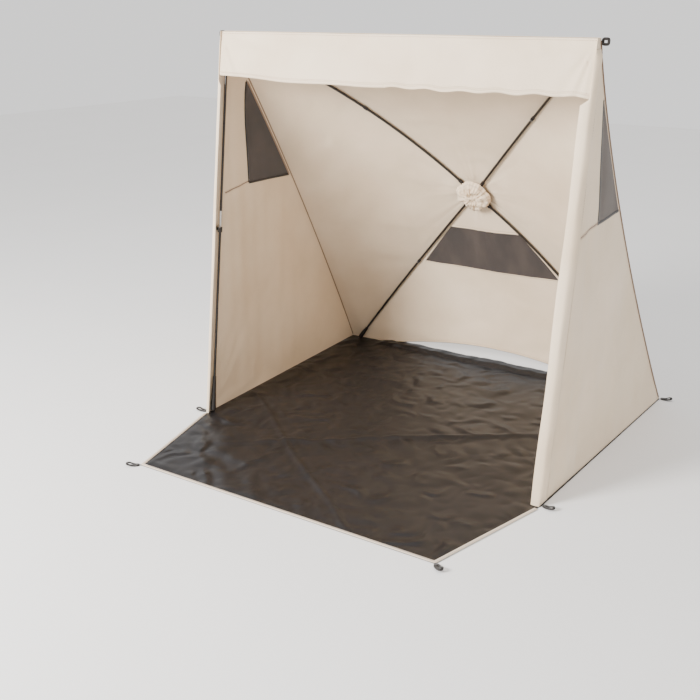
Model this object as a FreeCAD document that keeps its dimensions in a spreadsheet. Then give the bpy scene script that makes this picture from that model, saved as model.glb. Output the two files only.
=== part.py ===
import FreeCAD
import Part
import math
import os

import Sketcher
from FreeCAD import Matrix, Placement, Rotation, Vector

# Open-fronted pop-up shelter: one hub with four bowed rods stretches the sloping back wall, two jointed
# legs stand at the front corners, and the walls are sewn to a floor sheet that runs on as a porch.
# X runs along the open front to the right, Y to the back, Z up. The origin is on the floor, midway
# between the two front feet. Lengths are in millimetres.

SIZES = {
    # the tent's outline
    "front_width": 1830,         # between the feet of the two legs
    "back_width": 1832,          # between the feet of the two lower rods
    "top_width": 1836,           # between the tips of the two upper rods
    "height": 1905,              # floor to the top edge of the fabric
    "top_setback": 247,          # how far the top edge stands behind the front feet
    "floor_depth": 1470,         # front feet to the back edge of the floor
    "sheet_back_width": 1997,
    "porch_depth": 673,
    "porch_width": 1559,
    "back_foot_inset": 30,       # back edge of the floor to the lower rods' feet
    "tip_drop": 21,              # top edge of the fabric to the upper rods' tips
    "tip_inset": 9,              # how far the tips stand behind the top edge
    # the hub and the rods
    "hub_up": 1086,              # from the back edge of the floor, along the slope
    "hub_rise": 292,             # how far the rods bow the back wall outwards
    "hub_rim": 10,               # rod pins to the rim of the hub
    "hub_thickness": 24,
    "pin_circle": 52,            # hub axis to the four rod pins
    "hub_pin_length": 30,
    "pin_radius": 3,
    "lid_inset": 4,
    "lid_thickness": 4,
    "screw_circle": 22,
    "screw_radius": 2.5,
    "screw_depth": 8,
    "cap_radius": 100,
    "cap_depth": 44,
    "cap_wall": 2,
    "strap_radius": 22,
    "strap_wall": 3,
    "strap_width": 20,
    "rod_diameter": 12.7,
    "eye_wall": 5,               # around a pin
    "eye_width": 10,
    "tongue_height": 12,
    "socket_start": 18,          # rod pin to the mouth of the rod's socket
    "socket_wall": 3.2,
    "socket_length": 42,
    "rod_seat": 26,              # rod pin to the end of the rod inside the socket
    "tie_wall": 2.6,
    "tie_length": 26,
    # the corner joints and the legs
    "corner_socket_length": 52,
    "corner_socket_wall": 3.5,
    "leg_offset": 24,            # upper rod's tip to the pivot of the leg
    "corner_eye_wall": 5.5,
    "corner_eye_width": 8,
    "fork_wall": 7,              # around the leg's rivet
    "fork_ear": 4,
    "fork_neck": 15,
    "fork_socket_start": 26,
    "fork_socket_length": 44,
    "pole_seat": 30,
    "upper_leg": 905,            # leg pivot to the elbow
    "ferrule_length": 80,
    "ferrule_wall": 1.65,
    "collar_length": 27,
    "collar_wall": 4.65,
    "elbow_offset": 6.65,        # pole's surface to the pin of the elbow
    "knuckle_wall": 2.5,
    "knuckle_width": 8,
    "rivet_rim": 2,
    "rivet_head": 1.6,
    "boot_wall": 8.15,           # at the foot of a leg
    "boot_top_wall": 2.15,
    "leg_boot": 178,
    "rod_boot_wall": 6.65,
    "rod_boot": 78,
    # fabric, webbing and the gaps between pieces
    "floor_thickness": 2,
    "floor_margin": 25,          # leg to the edge of the floor sheet
    "fabric_thickness": 1.5,
    "binding_width": 16,
    "binding_thickness": 1.5,
    "fabric_lift": 7.5,          # rod surface to the fabric stretched over it
    "tip_cover": 6,              # the corner joint to the fabric over it
    "foot_cover": 17,            # the boot on a rod's foot to the fabric over it
    "centre_gap": 4,             # rods' sockets to where the fabric of the back wall begins
    "mesh_top": 350,             # hub axis to the top of the mesh, along the rod
    "mesh_bottom": 700,
    "arch_rise": 105,            # height of the gap under the back wall
    "arch_half": 725,            # half the width of that gap
    "valance_height": 222,
    "valance_gap": 24,           # leg to the valance in front of it
    "wall_gap": 2.5,             # boot of the leg to the side wall beside it
    "wall_top_gap": 2,           # fork of the leg to the side wall beside it
    "wall_lead": 35,             # how far the side wall stands in front of the leg
    "seam_gap": 4,               # side wall to the back wall's edge
    "window_depth": 380,         # front feet to the upright edge of a window
    "window_bottom": 1153,
    "window_seam": 15,
    "sleeve_width": 80,
    "webbing_width": 28,
    "webbing_thickness": 3,
    "tab_length": 30,
    "loop_length": 62,
    "gap": 0.4,                  # between pieces that move apart
    "running_clearance": 0.05,
    "socket_clearance": 0.3,
}

doc = FreeCAD.newDocument("shelter")
sheet = doc.addObject("Spreadsheet::Sheet", "Sizes")
worked = doc.addObject("Spreadsheet::Sheet", "Worked")


def fill(target, row, alias, value):
    """Writes one plain number into a sheet and gives its cell a name."""
    target.set("A%d" % row, alias)
    target.set("B%d" % row, repr(float(value)))
    target.setAlias("B%d" % row, alias)


for row, alias in enumerate(SIZES, 1):
    fill(sheet, row, alias, SIZES[alias])
doc.recompute()


def size(alias):
    """A driving size, read back from its cell."""
    return float(sheet.get(alias))


worked_names = []


def work_out(alias, value):
    """Keeps a worked-out size in its own sheet, so that features can be bound to it."""
    worked_names.append(alias)
    fill(worked, len(worked_names), alias, value)
    return value


def worked_size(alias):
    return float(worked.get(alias))


def unit(vector):
    return Vector(vector).multiply(1.0 / vector.Length)


def axes(origin, x_axis, y_axis, z_axis):
    """The placement that carries a local frame to these axes."""
    return Placement(Matrix(
        x_axis.x, y_axis.x, z_axis.x, origin.x,
        x_axis.y, y_axis.y, z_axis.y, origin.y,
        x_axis.z, y_axis.z, z_axis.z, origin.z,
        0, 0, 0, 1))


# ---------------------------------------------------------------- the frame's lines
GAP = size("gap")
ROD_RADIUS = size("rod_diameter") / 2
PIN_RADIUS = size("pin_radius")
SOCKET_RADIUS = ROD_RADIUS + size("socket_wall")
BOOT_RADIUS = ROD_RADIUS + size("boot_wall")
ROD_BOOT_RADIUS = ROD_RADIUS + size("rod_boot_wall")
FORK_RADIUS = PIN_RADIUS + size("fork_wall")
CORNER_EYE_RADIUS = PIN_RADIUS + size("corner_eye_wall")
KNUCKLE_RADIUS = PIN_RADIUS + size("knuckle_wall")
ELBOW_OFFSET = ROD_RADIUS + size("elbow_offset")
FORK_HALF = size("corner_eye_width") / 2 + GAP + size("fork_ear")
# the same sums as texts, for binding features to them
ROD = "Sizes.rod_diameter / 2"
HUB_RADIUS = "(Sizes.pin_circle + Sizes.hub_rim)"
BORE = "Sizes.pin_radius + Sizes.running_clearance"
SEAT = ROD + " + Sizes.socket_clearance"
FLOOR_TOP = size("floor_thickness")
BACK_EDGE = Vector(0, size("floor_depth"), 0)
TOP_EDGE = Vector(0, size("top_setback"), size("height"))
SLOPE = unit(TOP_EDGE - BACK_EDGE)
OUTWARD = Vector(0, SLOPE.z, -SLOPE.y)
HUB = BACK_EDGE + SLOPE * size("hub_up") + OUTWARD * size("hub_rise")
ROD_START = size("pin_circle") + size("rod_seat")


class Rod:
    """One bowed rod: straight out of the hub, then a round arc down to its far end."""

    def __init__(self, end):
        reach = end - HUB
        self.end = end
        self.drop = -reach.dot(OUTWARD)
        across = reach + OUTWARD * self.drop
        self.length = across.Length
        self.out = unit(across)
        run = self.length - ROD_START
        self.bend = (run * run + self.drop * self.drop) / (2 * self.drop)
        self.turn = math.asin(run / self.bend)
        self.pin = HUB + self.out * size("pin_circle")
        self.pin_axis = self.out.cross(OUTWARD)

    def way_back(self, stretch):
        """Direction of the last stretch of the rod, from its end towards the hub."""
        return unit(self.at(self.length - stretch) - self.end)

    def at(self, radius):
        """The rod's centre line at this distance from the hub's axis."""
        run = radius - ROD_START
        sag = self.bend - math.sqrt(self.bend ** 2 - run ** 2)
        return HUB + self.out * radius - OUTWARD * sag


SIDES = {"left": -1, "right": 1}
tip_depth = size("top_setback") + size("tip_inset")
tip_height = size("height") - size("tip_drop")
foot_depth = size("floor_depth") - size("back_foot_inset")
rods = {}
for side, way in SIDES.items():
    rods["upper", side] = Rod(Vector(way * size("top_width") / 2, tip_depth, tip_height))
    foot_height = FLOOR_TOP + GAP + ROD_BOOT_RADIUS
    rods["lower", side] = Rod(Vector(way * size("back_width") / 2, foot_depth, foot_height))
for level in ("upper", "lower"):
    work_out(level + "_bend", rods[level, "left"].bend)
    work_out(level + "_turn", math.degrees(rods[level, "left"].turn))


class Leg:
    """One leg's line: it hangs from a pivot beside the upper rod's tip and stands at the front corner."""

    def __init__(self, side):
        tip = rods["upper", side].end
        self.foot = Vector(SIDES[side] * size("front_width") / 2, 0,
                           FLOOR_TOP + GAP + BOOT_RADIUS)
        to_hub = unit(rods["upper", side].at(ROD_START) - tip)
        down = unit(self.foot - tip)
        self.aside = unit(down - to_hub * down.dot(to_hub))
        self.pivot = tip + self.aside * size("leg_offset")
        self.length = (self.foot - self.pivot).Length
        self.down = unit(self.foot - self.pivot)
        self.axis = unit(self.down.cross(to_hub))
        self.elbow = self.pivot + self.down * size("upper_leg")
        front = Vector(0, -1, 0)
        self.front = unit(front - self.down * front.dot(self.down))
        self.elbow_axis = self.down.cross(self.front)


legs = {side: Leg(side) for side in SIDES}
work_out("lower_pole", legs["left"].length - size("upper_leg") - size("pole_seat") / 4)
doc.recompute()

pieces = {}


def keep(name, piece, frame=Placement()):
    """Names a finished sub-part and carries it from its local frame to its place."""
    piece.Placement = frame * piece.Placement
    piece.Label = name
    pieces[name] = piece
    return piece


def bind(piece, **sizes):
    """Binds properties of a feature to the sheets, each by an expression."""
    for prop, text in sizes.items():
        piece.setExpression(prop, text)
    return piece


def cylinder(name, radius, height, origin=Vector(0, 0, 0), way=Vector(0, 0, 1)):
    """A cylinder that starts at origin and runs along way. Radius and height are expressions."""
    piece = doc.addObject("Part::Cylinder", name)
    piece.Placement = Placement(origin, Rotation(Vector(0, 0, 1), way))
    return bind(piece, Radius=radius, Height=height)


def box(name, length, width, height, corner):
    piece = doc.addObject("Part::Box", name)
    piece.Placement = Placement(corner, Rotation())
    return bind(piece, Length=length, Width=width, Height=height)


def ball(name, radius, centre):
    piece = doc.addObject("Part::Sphere", name)
    piece.Placement = Placement(centre, Rotation())
    return bind(piece, Radius=radius)


def cone(name, first, second, height, origin):
    piece = doc.addObject("Part::Cone", name)
    piece.Placement = Placement(origin, Rotation())
    return bind(piece, Radius1=first, Radius2=second, Height=height)


def fuse(name, *shapes):
    piece = doc.addObject("Part::MultiFuse", name)
    piece.Shapes = list(shapes)
    return piece


def cut(name, base, tool):
    piece = doc.addObject("Part::Cut", name)
    piece.Base = base
    piece.Tool = tool
    return piece


def group(name, *solids):
    """Separate like solids in one sub-part."""
    piece = doc.addObject("Part::Compound", name)
    piece.Links = list(solids)
    return piece


X, Y, Z = Vector(1, 0, 0), Vector(0, 1, 0), Vector(0, 0, 1)


# ---------------------------------------------------------------- hub
HUB_FRAME = axes(HUB, X, SLOPE, X.cross(SLOPE))      # its Z points into the tent
HALF_HUB = size("hub_thickness") / 2


def make_hub():
    """The hub's disc with its four slots, the pins in them, and the lid with its screws."""
    to_hub = HUB_FRAME.Rotation.inverted()
    disc = cylinder("hub_disc", HUB_RADIUS, "Sizes.hub_thickness", Z * -HALF_HUB)
    cuts, pins = [], []
    for level, side in rods:
        out = to_hub.multVec(rods[level, side].out)
        across = Z.cross(out)
        inner = size("pin_circle") - PIN_RADIUS - size("eye_wall") - 1.5
        slot = box("slot_%s_%s" % (level, side), HUB_RADIUS, "Sizes.eye_width + 2 * Sizes.gap",
                   "Sizes.hub_thickness + 2", Vector())
        slot.Placement = axes(out * inner - across * (size("eye_width") / 2 + GAP) - Z * (HALF_HUB + 1),
                              out, across, Z)
        start = out * size("pin_circle") - across * (size("hub_pin_length") / 2)
        cuts.append(slot)
        cuts.append(cylinder("bore_%s_%s" % (level, side), BORE,
                             "Sizes.hub_pin_length + 1", start - across * 0.5, across))
        pins.append(cylinder("pin_%s_%s" % (level, side), "Sizes.pin_radius", "Sizes.hub_pin_length",
                             start, across))

    lid = cylinder("lid_disc", HUB_RADIUS + " - Sizes.lid_inset", "Sizes.lid_thickness", Z * HALF_HUB)
    holes, screws = [], []
    for step in range(4):
        turn = math.radians(90 * step)
        spot = Vector(math.cos(turn), math.sin(turn), 0) * size("screw_circle")
        bottom = spot + Z * (HALF_HUB - size("screw_depth"))
        top = spot + Z * (HALF_HUB + size("lid_thickness"))
        depth = "Sizes.screw_depth + Sizes.lid_thickness + 1"
        holes.append(cylinder("screw_hole_%d" % step, "Sizes.screw_radius + Sizes.running_clearance",
                              depth, bottom))
        screws.append(fuse("screw_%d" % step,
                           cylinder("screw_shank_%d" % step, "Sizes.screw_radius", depth, bottom),
                           cylinder("screw_head_%d" % step, "Sizes.screw_radius * 1.9", "2.2", top)))
    all_holes = fuse("screw_holes", *holes)
    keep("hub_body", cut("hub_cut", disc, fuse("hub_openings", all_holes, *cuts)), HUB_FRAME)
    keep("hub_pins", group("hub_pin_group", *pins), HUB_FRAME)
    keep("hub_lid", cut("lid_cut", lid, all_holes), HUB_FRAME)
    keep("hub_screws", group("screw_group", *screws), HUB_FRAME)


def make_hub_cap():
    """Gathered fabric dome that hides the hub from inside the tent: a slice of a hollow ball."""
    radius, depth = size("cap_radius"), size("cap_depth")
    work_out("cap_ball", (radius ** 2 + depth ** 2) / (2 * depth))
    doc.recompute()
    centre = Z * (depth - worked_size("cap_ball"))
    outer = ball("cap_outer", "Worked.cap_ball", centre)
    inner = ball("cap_inner", "Worked.cap_ball - Sizes.cap_wall", centre)
    slice_of = cylinder("cap_slice", "Sizes.cap_radius + 1", "Sizes.cap_depth + 1")
    dome = doc.addObject("Part::MultiCommon", "cap_dome")
    dome.Shapes = [outer, slice_of]
    rim = Placement(Z * (SOCKET_RADIUS + 1.5), Rotation())
    keep("hub_cap", cut("cap_shell", dome, inner), HUB_FRAME * rim)


def make_pull_strap():
    """Webbing ring on the outer face of the hub, for pulling it out."""
    centre = Z * -(HALF_HUB + size("strap_radius")) - X * (size("strap_width") / 2)
    ring = cylinder("strap_outer", "Sizes.strap_radius", "Sizes.strap_width", centre, X)
    hole = cylinder("strap_inner", "Sizes.strap_radius - Sizes.strap_wall", "Sizes.strap_width + 2",
                    centre - X, X)
    keep("pull_strap", cut("strap_ring", ring, hole), HUB_FRAME)


# ---------------------------------------------------------------- rods and their fittings
def make_rod(level, side):
    """A fibreglass rod: a round section turned about the centre of its bow."""
    rod = rods[level, side]
    name = "%s_%s_rod" % (level, side)
    body = doc.addObject("PartDesign::Body", name + "_body")
    plane = [f for f in body.Origin.OriginFeatures if f.Role == "XZ_Plane"][0]
    sketch = body.newObject("Sketcher::SketchObject", name + "_section")
    sketch.AttachmentSupport = [(plane, "")]
    sketch.MapMode = "FlatFace"
    circle = sketch.addGeometry(Part.Circle(Vector(rod.bend, 0, 0), Z, ROD_RADIUS))
    radius = sketch.addConstraint(Sketcher.Constraint("Radius", circle, ROD_RADIUS))
    bend = sketch.addConstraint(Sketcher.Constraint("DistanceX", -1, 1, circle, 3, rod.bend))
    sketch.addConstraint(Sketcher.Constraint("PointOnObject", circle, 3, -1))
    sketch.setExpression("Constraints[%d]" % radius, "Sizes.rod_diameter / 2")
    sketch.setExpression("Constraints[%d]" % bend, "Worked.%s_bend" % level)
    turned = body.newObject("PartDesign::Revolution", name + "_turned")
    turned.Profile = sketch
    turned.ReferenceAxis = (sketch, ["V_Axis"])
    turned.setExpression("Angle", "Worked.%s_turn" % level)
    centre = HUB + rod.out * ROD_START - OUTWARD * rod.bend
    keep(name, body, axes(centre, OUTWARD, rod.out, OUTWARD.cross(rod.out)))


def make_rod_eye(level, side):
    """The moulded end that holds a rod and turns on its pin in the hub."""
    rod = rods[level, side]
    name = "%s_%s_eye" % (level, side)
    half = size("eye_width") / 2
    eye = cylinder(name + "_ring", "Sizes.pin_radius + Sizes.eye_wall", "Sizes.eye_width",
                   Y * -half, Y)
    tongue = box(name + "_tongue", "Sizes.socket_start + 1", "Sizes.eye_width", "Sizes.tongue_height",
                 Vector(0, -half, -size("tongue_height") / 2))
    socket = cylinder(name + "_socket", ROD + " + Sizes.socket_wall", "Sizes.socket_length",
                      X * size("socket_start"), X)
    pin_bore = cylinder(name + "_pin_bore", BORE,
                        "Sizes.eye_width + 2", Y * -(half + 1), Y)
    rod_bore = cylinder(name + "_rod_bore", SEAT,
                        "Sizes.socket_length", X * (size("rod_seat") - 0.5), X)
    piece = cut(name + "_cut", fuse(name + "_solid", eye, tongue, socket),
                fuse(name + "_bores", pin_bore, rod_bore))
    keep(name, piece, axes(rod.pin, rod.out, OUTWARD.cross(rod.out), OUTWARD))


def make_tie(level, side):
    """The webbing tie that holds the fabric to the middle of a rod: a short sleeve on it."""
    rod = rods[level, side]
    name = "%s_%s_tie" % (level, side)
    middle = rod.length / 2
    first, last = rod.at(middle - size("tie_length") / 2), rod.at(middle + size("tie_length") / 2)
    way = unit(last - first)
    sleeve = cylinder(name + "_outer", ROD + " + Sizes.tie_wall", "Sizes.tie_length")
    bore = cylinder(name + "_bore", SEAT,
                    "Sizes.tie_length + 2", Z * -1)
    keep(name, cut(name + "_cut", sleeve, bore), Placement(first, Rotation(Z, way)))


def make_rod_boot(side):
    """The black boot on the foot of a lower rod, round below so that it turns in its corner."""
    rod = rods["lower", side]
    name = "lower_%s_boot" % side
    sleeve = cone(name + "_sleeve", ROD + " + Sizes.rod_boot_wall", ROD + " + Sizes.boot_top_wall + 1",
                  "Sizes.rod_boot", Vector())
    foot = ball(name + "_foot", ROD + " + Sizes.rod_boot_wall", Vector())
    bore = cylinder(name + "_bore", SEAT,
                    "Sizes.rod_boot + 10", Z * -1)
    keep(name, cut(name + "_cut", fuse(name + "_solid", sleeve, foot), bore),
         Placement(rod.end, Rotation(Z, rod.way_back(size("rod_boot")))))


def make_corner_joint(side):
    """Socket on the tip of an upper rod, with an arm that ends in the eye the leg hangs from."""
    rod, leg = rods["upper", side], legs[side]
    name = "%s_corner_joint" % side
    half = size("corner_eye_width") / 2
    frame = axes(leg.pivot, leg.axis.cross(leg.aside), leg.axis, leg.aside)
    local = frame.Rotation.inverted()
    back = local.multVec(rod.way_back(size("corner_socket_length")))
    tip = Z * -size("leg_offset")
    socket = cylinder(name + "_socket", ROD + " + Sizes.corner_socket_wall",
                      "Sizes.corner_socket_length", tip - back * 5, back)
    eye = cylinder(name + "_eye", "Sizes.pin_radius + Sizes.corner_eye_wall",
                   "Sizes.corner_eye_width", Y * -half, Y)
    arm = box(name + "_arm", "(Sizes.pin_radius + Sizes.corner_eye_wall) * 2 - 3",
              "Sizes.corner_eye_width", "Sizes.leg_offset - 3",
              Vector(1.5 - CORNER_EYE_RADIUS, -half, 3 - size("leg_offset")))
    rod_bore = cylinder(name + "_rod_bore", SEAT,
                        "Sizes.corner_socket_length", tip - back, back)
    pin_bore = cylinder(name + "_pin_bore", BORE,
                        "Sizes.corner_eye_width + 2", Y * -(half + 1), Y)
    keep(name, cut(name + "_cut", fuse(name + "_solid", socket, eye, arm),
                   fuse(name + "_bores", rod_bore, pin_bore)), frame)


# ---------------------------------------------------------------- legs
def make_leg_fork(side):
    """Fork on the top of a leg: two ears astride the corner joint's eye, and a socket for the pole."""
    leg = legs[side]
    name = "%s_leg_fork" % side
    inner = size("corner_eye_width") / 2 + GAP
    edge = 2 - FORK_RADIUS
    width = "(Sizes.pin_radius + Sizes.fork_wall) * 2 - 4"
    ears = []
    for label, start in (("near", -FORK_HALF), ("far", inner)):
        ear = cylinder("%s_%s_ear" % (name, label), "Sizes.pin_radius + Sizes.fork_wall",
                       "Sizes.fork_ear", Y * start, Y)
        web = box("%s_%s_web" % (name, label), width, "Sizes.fork_ear", "Sizes.fork_socket_start",
                  Vector(edge, start, 0))
        ears += [ear, web]
    bridge = box(name + "_bridge", width, "Sizes.corner_eye_width + 2 * Sizes.gap + 2 * Sizes.fork_ear",
                 "Sizes.fork_socket_start - Sizes.fork_neck", Vector(edge, -FORK_HALF, size("fork_neck")))
    socket = cylinder(name + "_socket", ROD + " + Sizes.socket_wall", "Sizes.fork_socket_length",
                      Z * size("fork_socket_start"), Z)
    pin_bore = cylinder(name + "_pin_bore", BORE, "40", Y * -20, Y)
    pole_bore = cylinder(name + "_pole_bore", SEAT,
                         "Sizes.fork_socket_length", Z * (size("pole_seat") - 0.5), Z)
    keep(name, cut(name + "_cut", fuse(name + "_solid", bridge, socket, *ears),
                   fuse(name + "_bores", pin_bore, pole_bore)), leg_frame(leg))


def leg_frame(leg):
    return axes(leg.pivot, leg.axis.cross(leg.down), leg.axis, leg.down)


def elbow_frame(leg):
    return axes(leg.elbow, leg.front, leg.elbow_axis, leg.down)


def rivet(name, radius, grip, origin, way):
    """A rivet through two ears, with a flat head at each end."""
    shank = cylinder(name + "_shank", radius, "%s" % grip, origin - way * (grip / 2), way)
    heads = []
    for label, start in (("near", -grip / 2 - size("rivet_head")), ("far", grip / 2)):
        heads.append(cylinder("%s_%s_head" % (name, label), "Sizes.pin_radius + Sizes.rivet_rim",
                              "Sizes.rivet_head", origin + way * start, way))
    return fuse(name, shank, *heads)


def make_leg_rivets(side):
    """The leg's two rivets: the pivot at the corner and the pin of the elbow."""
    leg = legs[side]
    elbow_grip = 2 * size("knuckle_width") + 2 * GAP
    pin = leg.elbow + leg.front * ELBOW_OFFSET
    keep("%s_leg_rivets" % side, group(
        "%s_rivet_group" % side,
        rivet("%s_pivot_rivet" % side, "Sizes.pin_radius", 2 * FORK_HALF, leg.pivot, leg.axis),
        rivet("%s_elbow_rivet" % side, "Sizes.pin_radius", elbow_grip, pin, leg.elbow_axis)))


def make_upper_pole(side):
    leg = legs[side]
    pole = cylinder("%s_upper_pole_rod" % side, "Sizes.rod_diameter / 2",
                    "Sizes.upper_leg - Sizes.pole_seat - 20", Z * size("pole_seat"))
    keep("%s_upper_pole" % side, pole, leg_frame(leg))


def make_ferrule(side):
    """Bright metal sleeve on the lower end of the upper pole, with the middle knuckle of the elbow."""
    leg = legs[side]
    name = "%s_ferrule" % side
    length, half = size("ferrule_length"), size("knuckle_width") / 2
    sleeve = cylinder(name + "_sleeve", ROD + " + Sizes.ferrule_wall", "Sizes.ferrule_length - Sizes.gap",
                      Z * -length, Z)
    knuckle = cylinder(name + "_knuckle", "Sizes.pin_radius + Sizes.knuckle_wall", "Sizes.knuckle_width",
                       Vector(ELBOW_OFFSET, -half, 0), Y)
    web = box(name + "_web", ROD + " + Sizes.elbow_offset", "Sizes.knuckle_width",
              "(Sizes.pin_radius + Sizes.knuckle_wall) * 2", Vector(0, -half, -GAP - 2 * KNUCKLE_RADIUS))
    pole_bore = cylinder(name + "_pole_bore", SEAT,
                         "Sizes.ferrule_length - 19", Z * (-length - 0.5), Z)
    pin_bore = cylinder(name + "_pin_bore", BORE,
                        "Sizes.knuckle_width + 2", Vector(ELBOW_OFFSET, -half - 1, 0), Y)
    keep(name, cut(name + "_cut", fuse(name + "_solid", sleeve, knuckle, web),
                   fuse(name + "_bores", pole_bore, pin_bore)), elbow_frame(leg))


def make_collar(side):
    """Black collar on the lower pole, with the two outer knuckles of the elbow."""
    leg = legs[side]
    name = "%s_collar" % side
    offset, inner = ELBOW_OFFSET, size("knuckle_width") / 2 + GAP
    reach = "Sizes.pin_radius + Sizes.knuckle_wall"
    sleeve = cylinder(name + "_sleeve", ROD + " + Sizes.collar_wall", "Sizes.collar_length", Z * GAP, Z)
    knuckles = []
    for label, start in (("near", -inner - size("knuckle_width") / 2), ("far", inner)):
        knuckles.append(cylinder("%s_%s_knuckle" % (name, label), reach,
                                 "Sizes.knuckle_width / 2", Vector(offset, start, 0), Y))
        knuckles.append(box("%s_%s_web" % (name, label), reach + " + 5",
                            "Sizes.knuckle_width / 2", "(%s) * 3" % reach,
                            Vector(offset - 5, start, GAP)))
    room = box(name + "_room", "30", "Sizes.knuckle_width + 2 * Sizes.gap", reach + " + 2",
               Vector(offset - KNUCKLE_RADIUS - 1, -inner, -1))
    pole_bore = cylinder(name + "_pole_bore", SEAT,
                         "Sizes.collar_length + 5", Z * (size("pole_seat") / 4), Z)
    pin_bore = cylinder(name + "_pin_bore", BORE, "30",
                        Vector(offset, -15, 0), Y)
    keep(name, cut(name + "_cut", fuse(name + "_solid", sleeve, *knuckles),
                   fuse(name + "_bores", room, pole_bore, pin_bore)), elbow_frame(leg))


def make_lower_pole(side):
    leg = legs[side]
    pole = cylinder("%s_lower_pole_rod" % side, "Sizes.rod_diameter / 2", "Worked.lower_pole",
                    Z * (size("pole_seat") / 4))
    keep("%s_lower_pole" % side, pole, elbow_frame(leg))


def make_leg_boot(side):
    """Tapered black boot on the foot of a leg."""
    leg = legs[side]
    name = "%s_leg_boot" % side
    sleeve = cone(name + "_sleeve", ROD + " + Sizes.boot_wall", ROD + " + Sizes.boot_top_wall",
                  "Sizes.leg_boot", Vector())
    foot = ball(name + "_foot", ROD + " + Sizes.boot_wall", Vector())
    bore = cylinder(name + "_bore", SEAT,
                    "Sizes.leg_boot + 10", Z * -0.5)
    keep(name, cut(name + "_cut", fuse(name + "_solid", sleeve, foot), bore),
         Placement(leg.foot, Rotation(Z, leg.down * -1)))


# ---------------------------------------------------------------- fabric
def fabric(name, shape):
    """A sewn piece: a thin closed solid with its own shape."""
    piece = doc.addObject("Part::Feature", name)
    piece.Shape = shape
    keep(name, piece)


def flat_panel(corners, thickness, holes=()):
    """A flat piece cut to these corners, thickened along the vector, with holes cut through it."""
    face = Part.Face(Part.makePolygon(list(corners) + [corners[0]]))
    for hole in holes:
        face = face.cut(Part.Face(Part.makePolygon(list(hole) + [hole[0]])))
    return face.extrude(thickness).Solids[0]


def curved_panel(grid, thickness, kept=lambda row, column: True):
    """A thin solid over a grid of points, thickened along the vector. kept says which cells it covers."""
    rows, columns = len(grid) - 1, len(grid[0]) - 1
    cells = {(r, c) for r in range(rows) for c in range(columns) if kept(r, c)}
    faces = []

    def flat(*points):
        faces.append(Part.Face(Part.makePolygon(list(points) + [points[0]])))

    def wall(a, b):
        flat(a, b, b + thickness, a + thickness)

    for r, c in sorted(cells):
        a, b, d, e = grid[r][c], grid[r][c + 1], grid[r + 1][c + 1], grid[r + 1][c]
        for lift in (Vector(), thickness):
            flat(a + lift, b + lift, d + lift)
            flat(a + lift, d + lift, e + lift)
        for beside, first, second in (((r - 1, c), a, b), ((r + 1, c), e, d),
                                      ((r, c - 1), a, e), ((r, c + 1), b, d)):
            if beside not in cells:
                wall(first, second)
    shell = Part.makeShell(faces)
    shell.sewShape()
    solid = Part.makeSolid(shell)
    return solid if solid.Volume > 0 else solid.reversed()


LIFT = OUTWARD * (ROD_RADIUS + size("fabric_lift"))
THICK = OUTWARD * size("fabric_thickness")
SHARES = [0.0, 0.08, 0.27, 0.5, 0.75, 1.0]           # across a half panel, from its rod to the middle


def wall_line(side):
    """Top and bottom of the side wall where it passes the leg, and its bottom corner at the back."""
    way = SIDES[side]
    leg = legs[side]
    lean = abs(leg.axis.x)
    fork_reach = FORK_HALF * lean + FORK_RADIUS * math.sqrt(1 - lean ** 2)
    top = Vector(leg.pivot.x + way * (fork_reach + size("wall_top_gap")), size("top_setback"),
                 size("height"))
    foot = Vector(leg.foot.x + way * (BOOT_RADIUS + size("wall_gap")), 0, FLOOR_TOP + GAP)
    back = Vector(way * (size("sheet_back_width") / 2 - 4), size("floor_depth") - 2, FLOOR_TOP + GAP)
    return top, foot, back


def rod_edge(level, side):
    """The line on which a panel lies over its rod, from near the hub to the corner of the fabric."""
    rod = rods[level, side]
    top, bottom = size("mesh_top"), size("mesh_bottom")
    far = rod.length - size("rod_boot") - 10
    near = size("pin_circle") + size("socket_start") + size("socket_length") + size("centre_gap")
    stations = [near, top, (top + bottom) / 2, bottom]
    stations += [bottom + (far - bottom) * share for share in (0.35, 0.7, 1.0)]
    line = [rod.at(station) + LIFT for station in stations]
    if level == "upper":
        return line + [rod.end + OUTWARD * (ROD_RADIUS + size("corner_socket_wall") + size("tip_cover")), wall_line(side)[0]]
    return line + [rod.end + OUTWARD * (ROD_BOOT_RADIUS + size("foot_cover")), wall_line(side)[2]]


def half_panel(own, other):
    """Points of the half of a back panel that the rod own holds, up to half way to the rod other."""
    grid = []
    for near, far in zip(rod_edge(*own), rod_edge(*other)):
        middle = (near + far) * 0.5
        middle = middle + unit(near - middle) * (GAP + 0.3)
        grid.append([near + (middle - near) * share for share in SHARES])
    return grid


def arch_height(point):
    """Height of the gap under the back wall at this point."""
    if abs(point.x) > size("arch_half") - 1:
        return 0
    return size("arch_rise") * math.cos(math.pi / 2 * abs(point.x) / size("arch_half"))


def in_mesh(row, column):
    """The cells of a bottom panel that are mesh: a band below the hub, bordered by fabric."""
    return row in (1, 2) and column > 0


def make_back_wall():
    """Four petals of fabric between the rods. Each is sewn from two halves that part at its middle."""
    for side in SIDES:
        other = "left" if side == "right" else "right"
        upper, lower = ("upper", side), ("lower", side)
        fabric("top_panel_" + side, curved_panel(half_panel(upper, ("upper", other)), THICK))
        fabric(side + "_panel_upper", curved_panel(half_panel(upper, lower), THICK))
        fabric(side + "_panel_lower", curved_panel(half_panel(lower, upper), THICK))
        bottom = half_panel(lower, ("lower", other))
        for row, step in ((-1, 0), (-2, 45), (-3, 90)):
            for column, point in enumerate(bottom[row]):
                if arch_height(point):
                    lift = max(arch_height(point) + step - point.z, 0)
                    bottom[row][column] = point + SLOPE * (lift / SLOPE.z)
        fabric("bottom_panel_" + side, curved_panel(bottom, THICK, lambda r, c: not in_mesh(r, c)))
        fabric("mesh_" + side, curved_panel(bottom, THICK, in_mesh))


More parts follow.
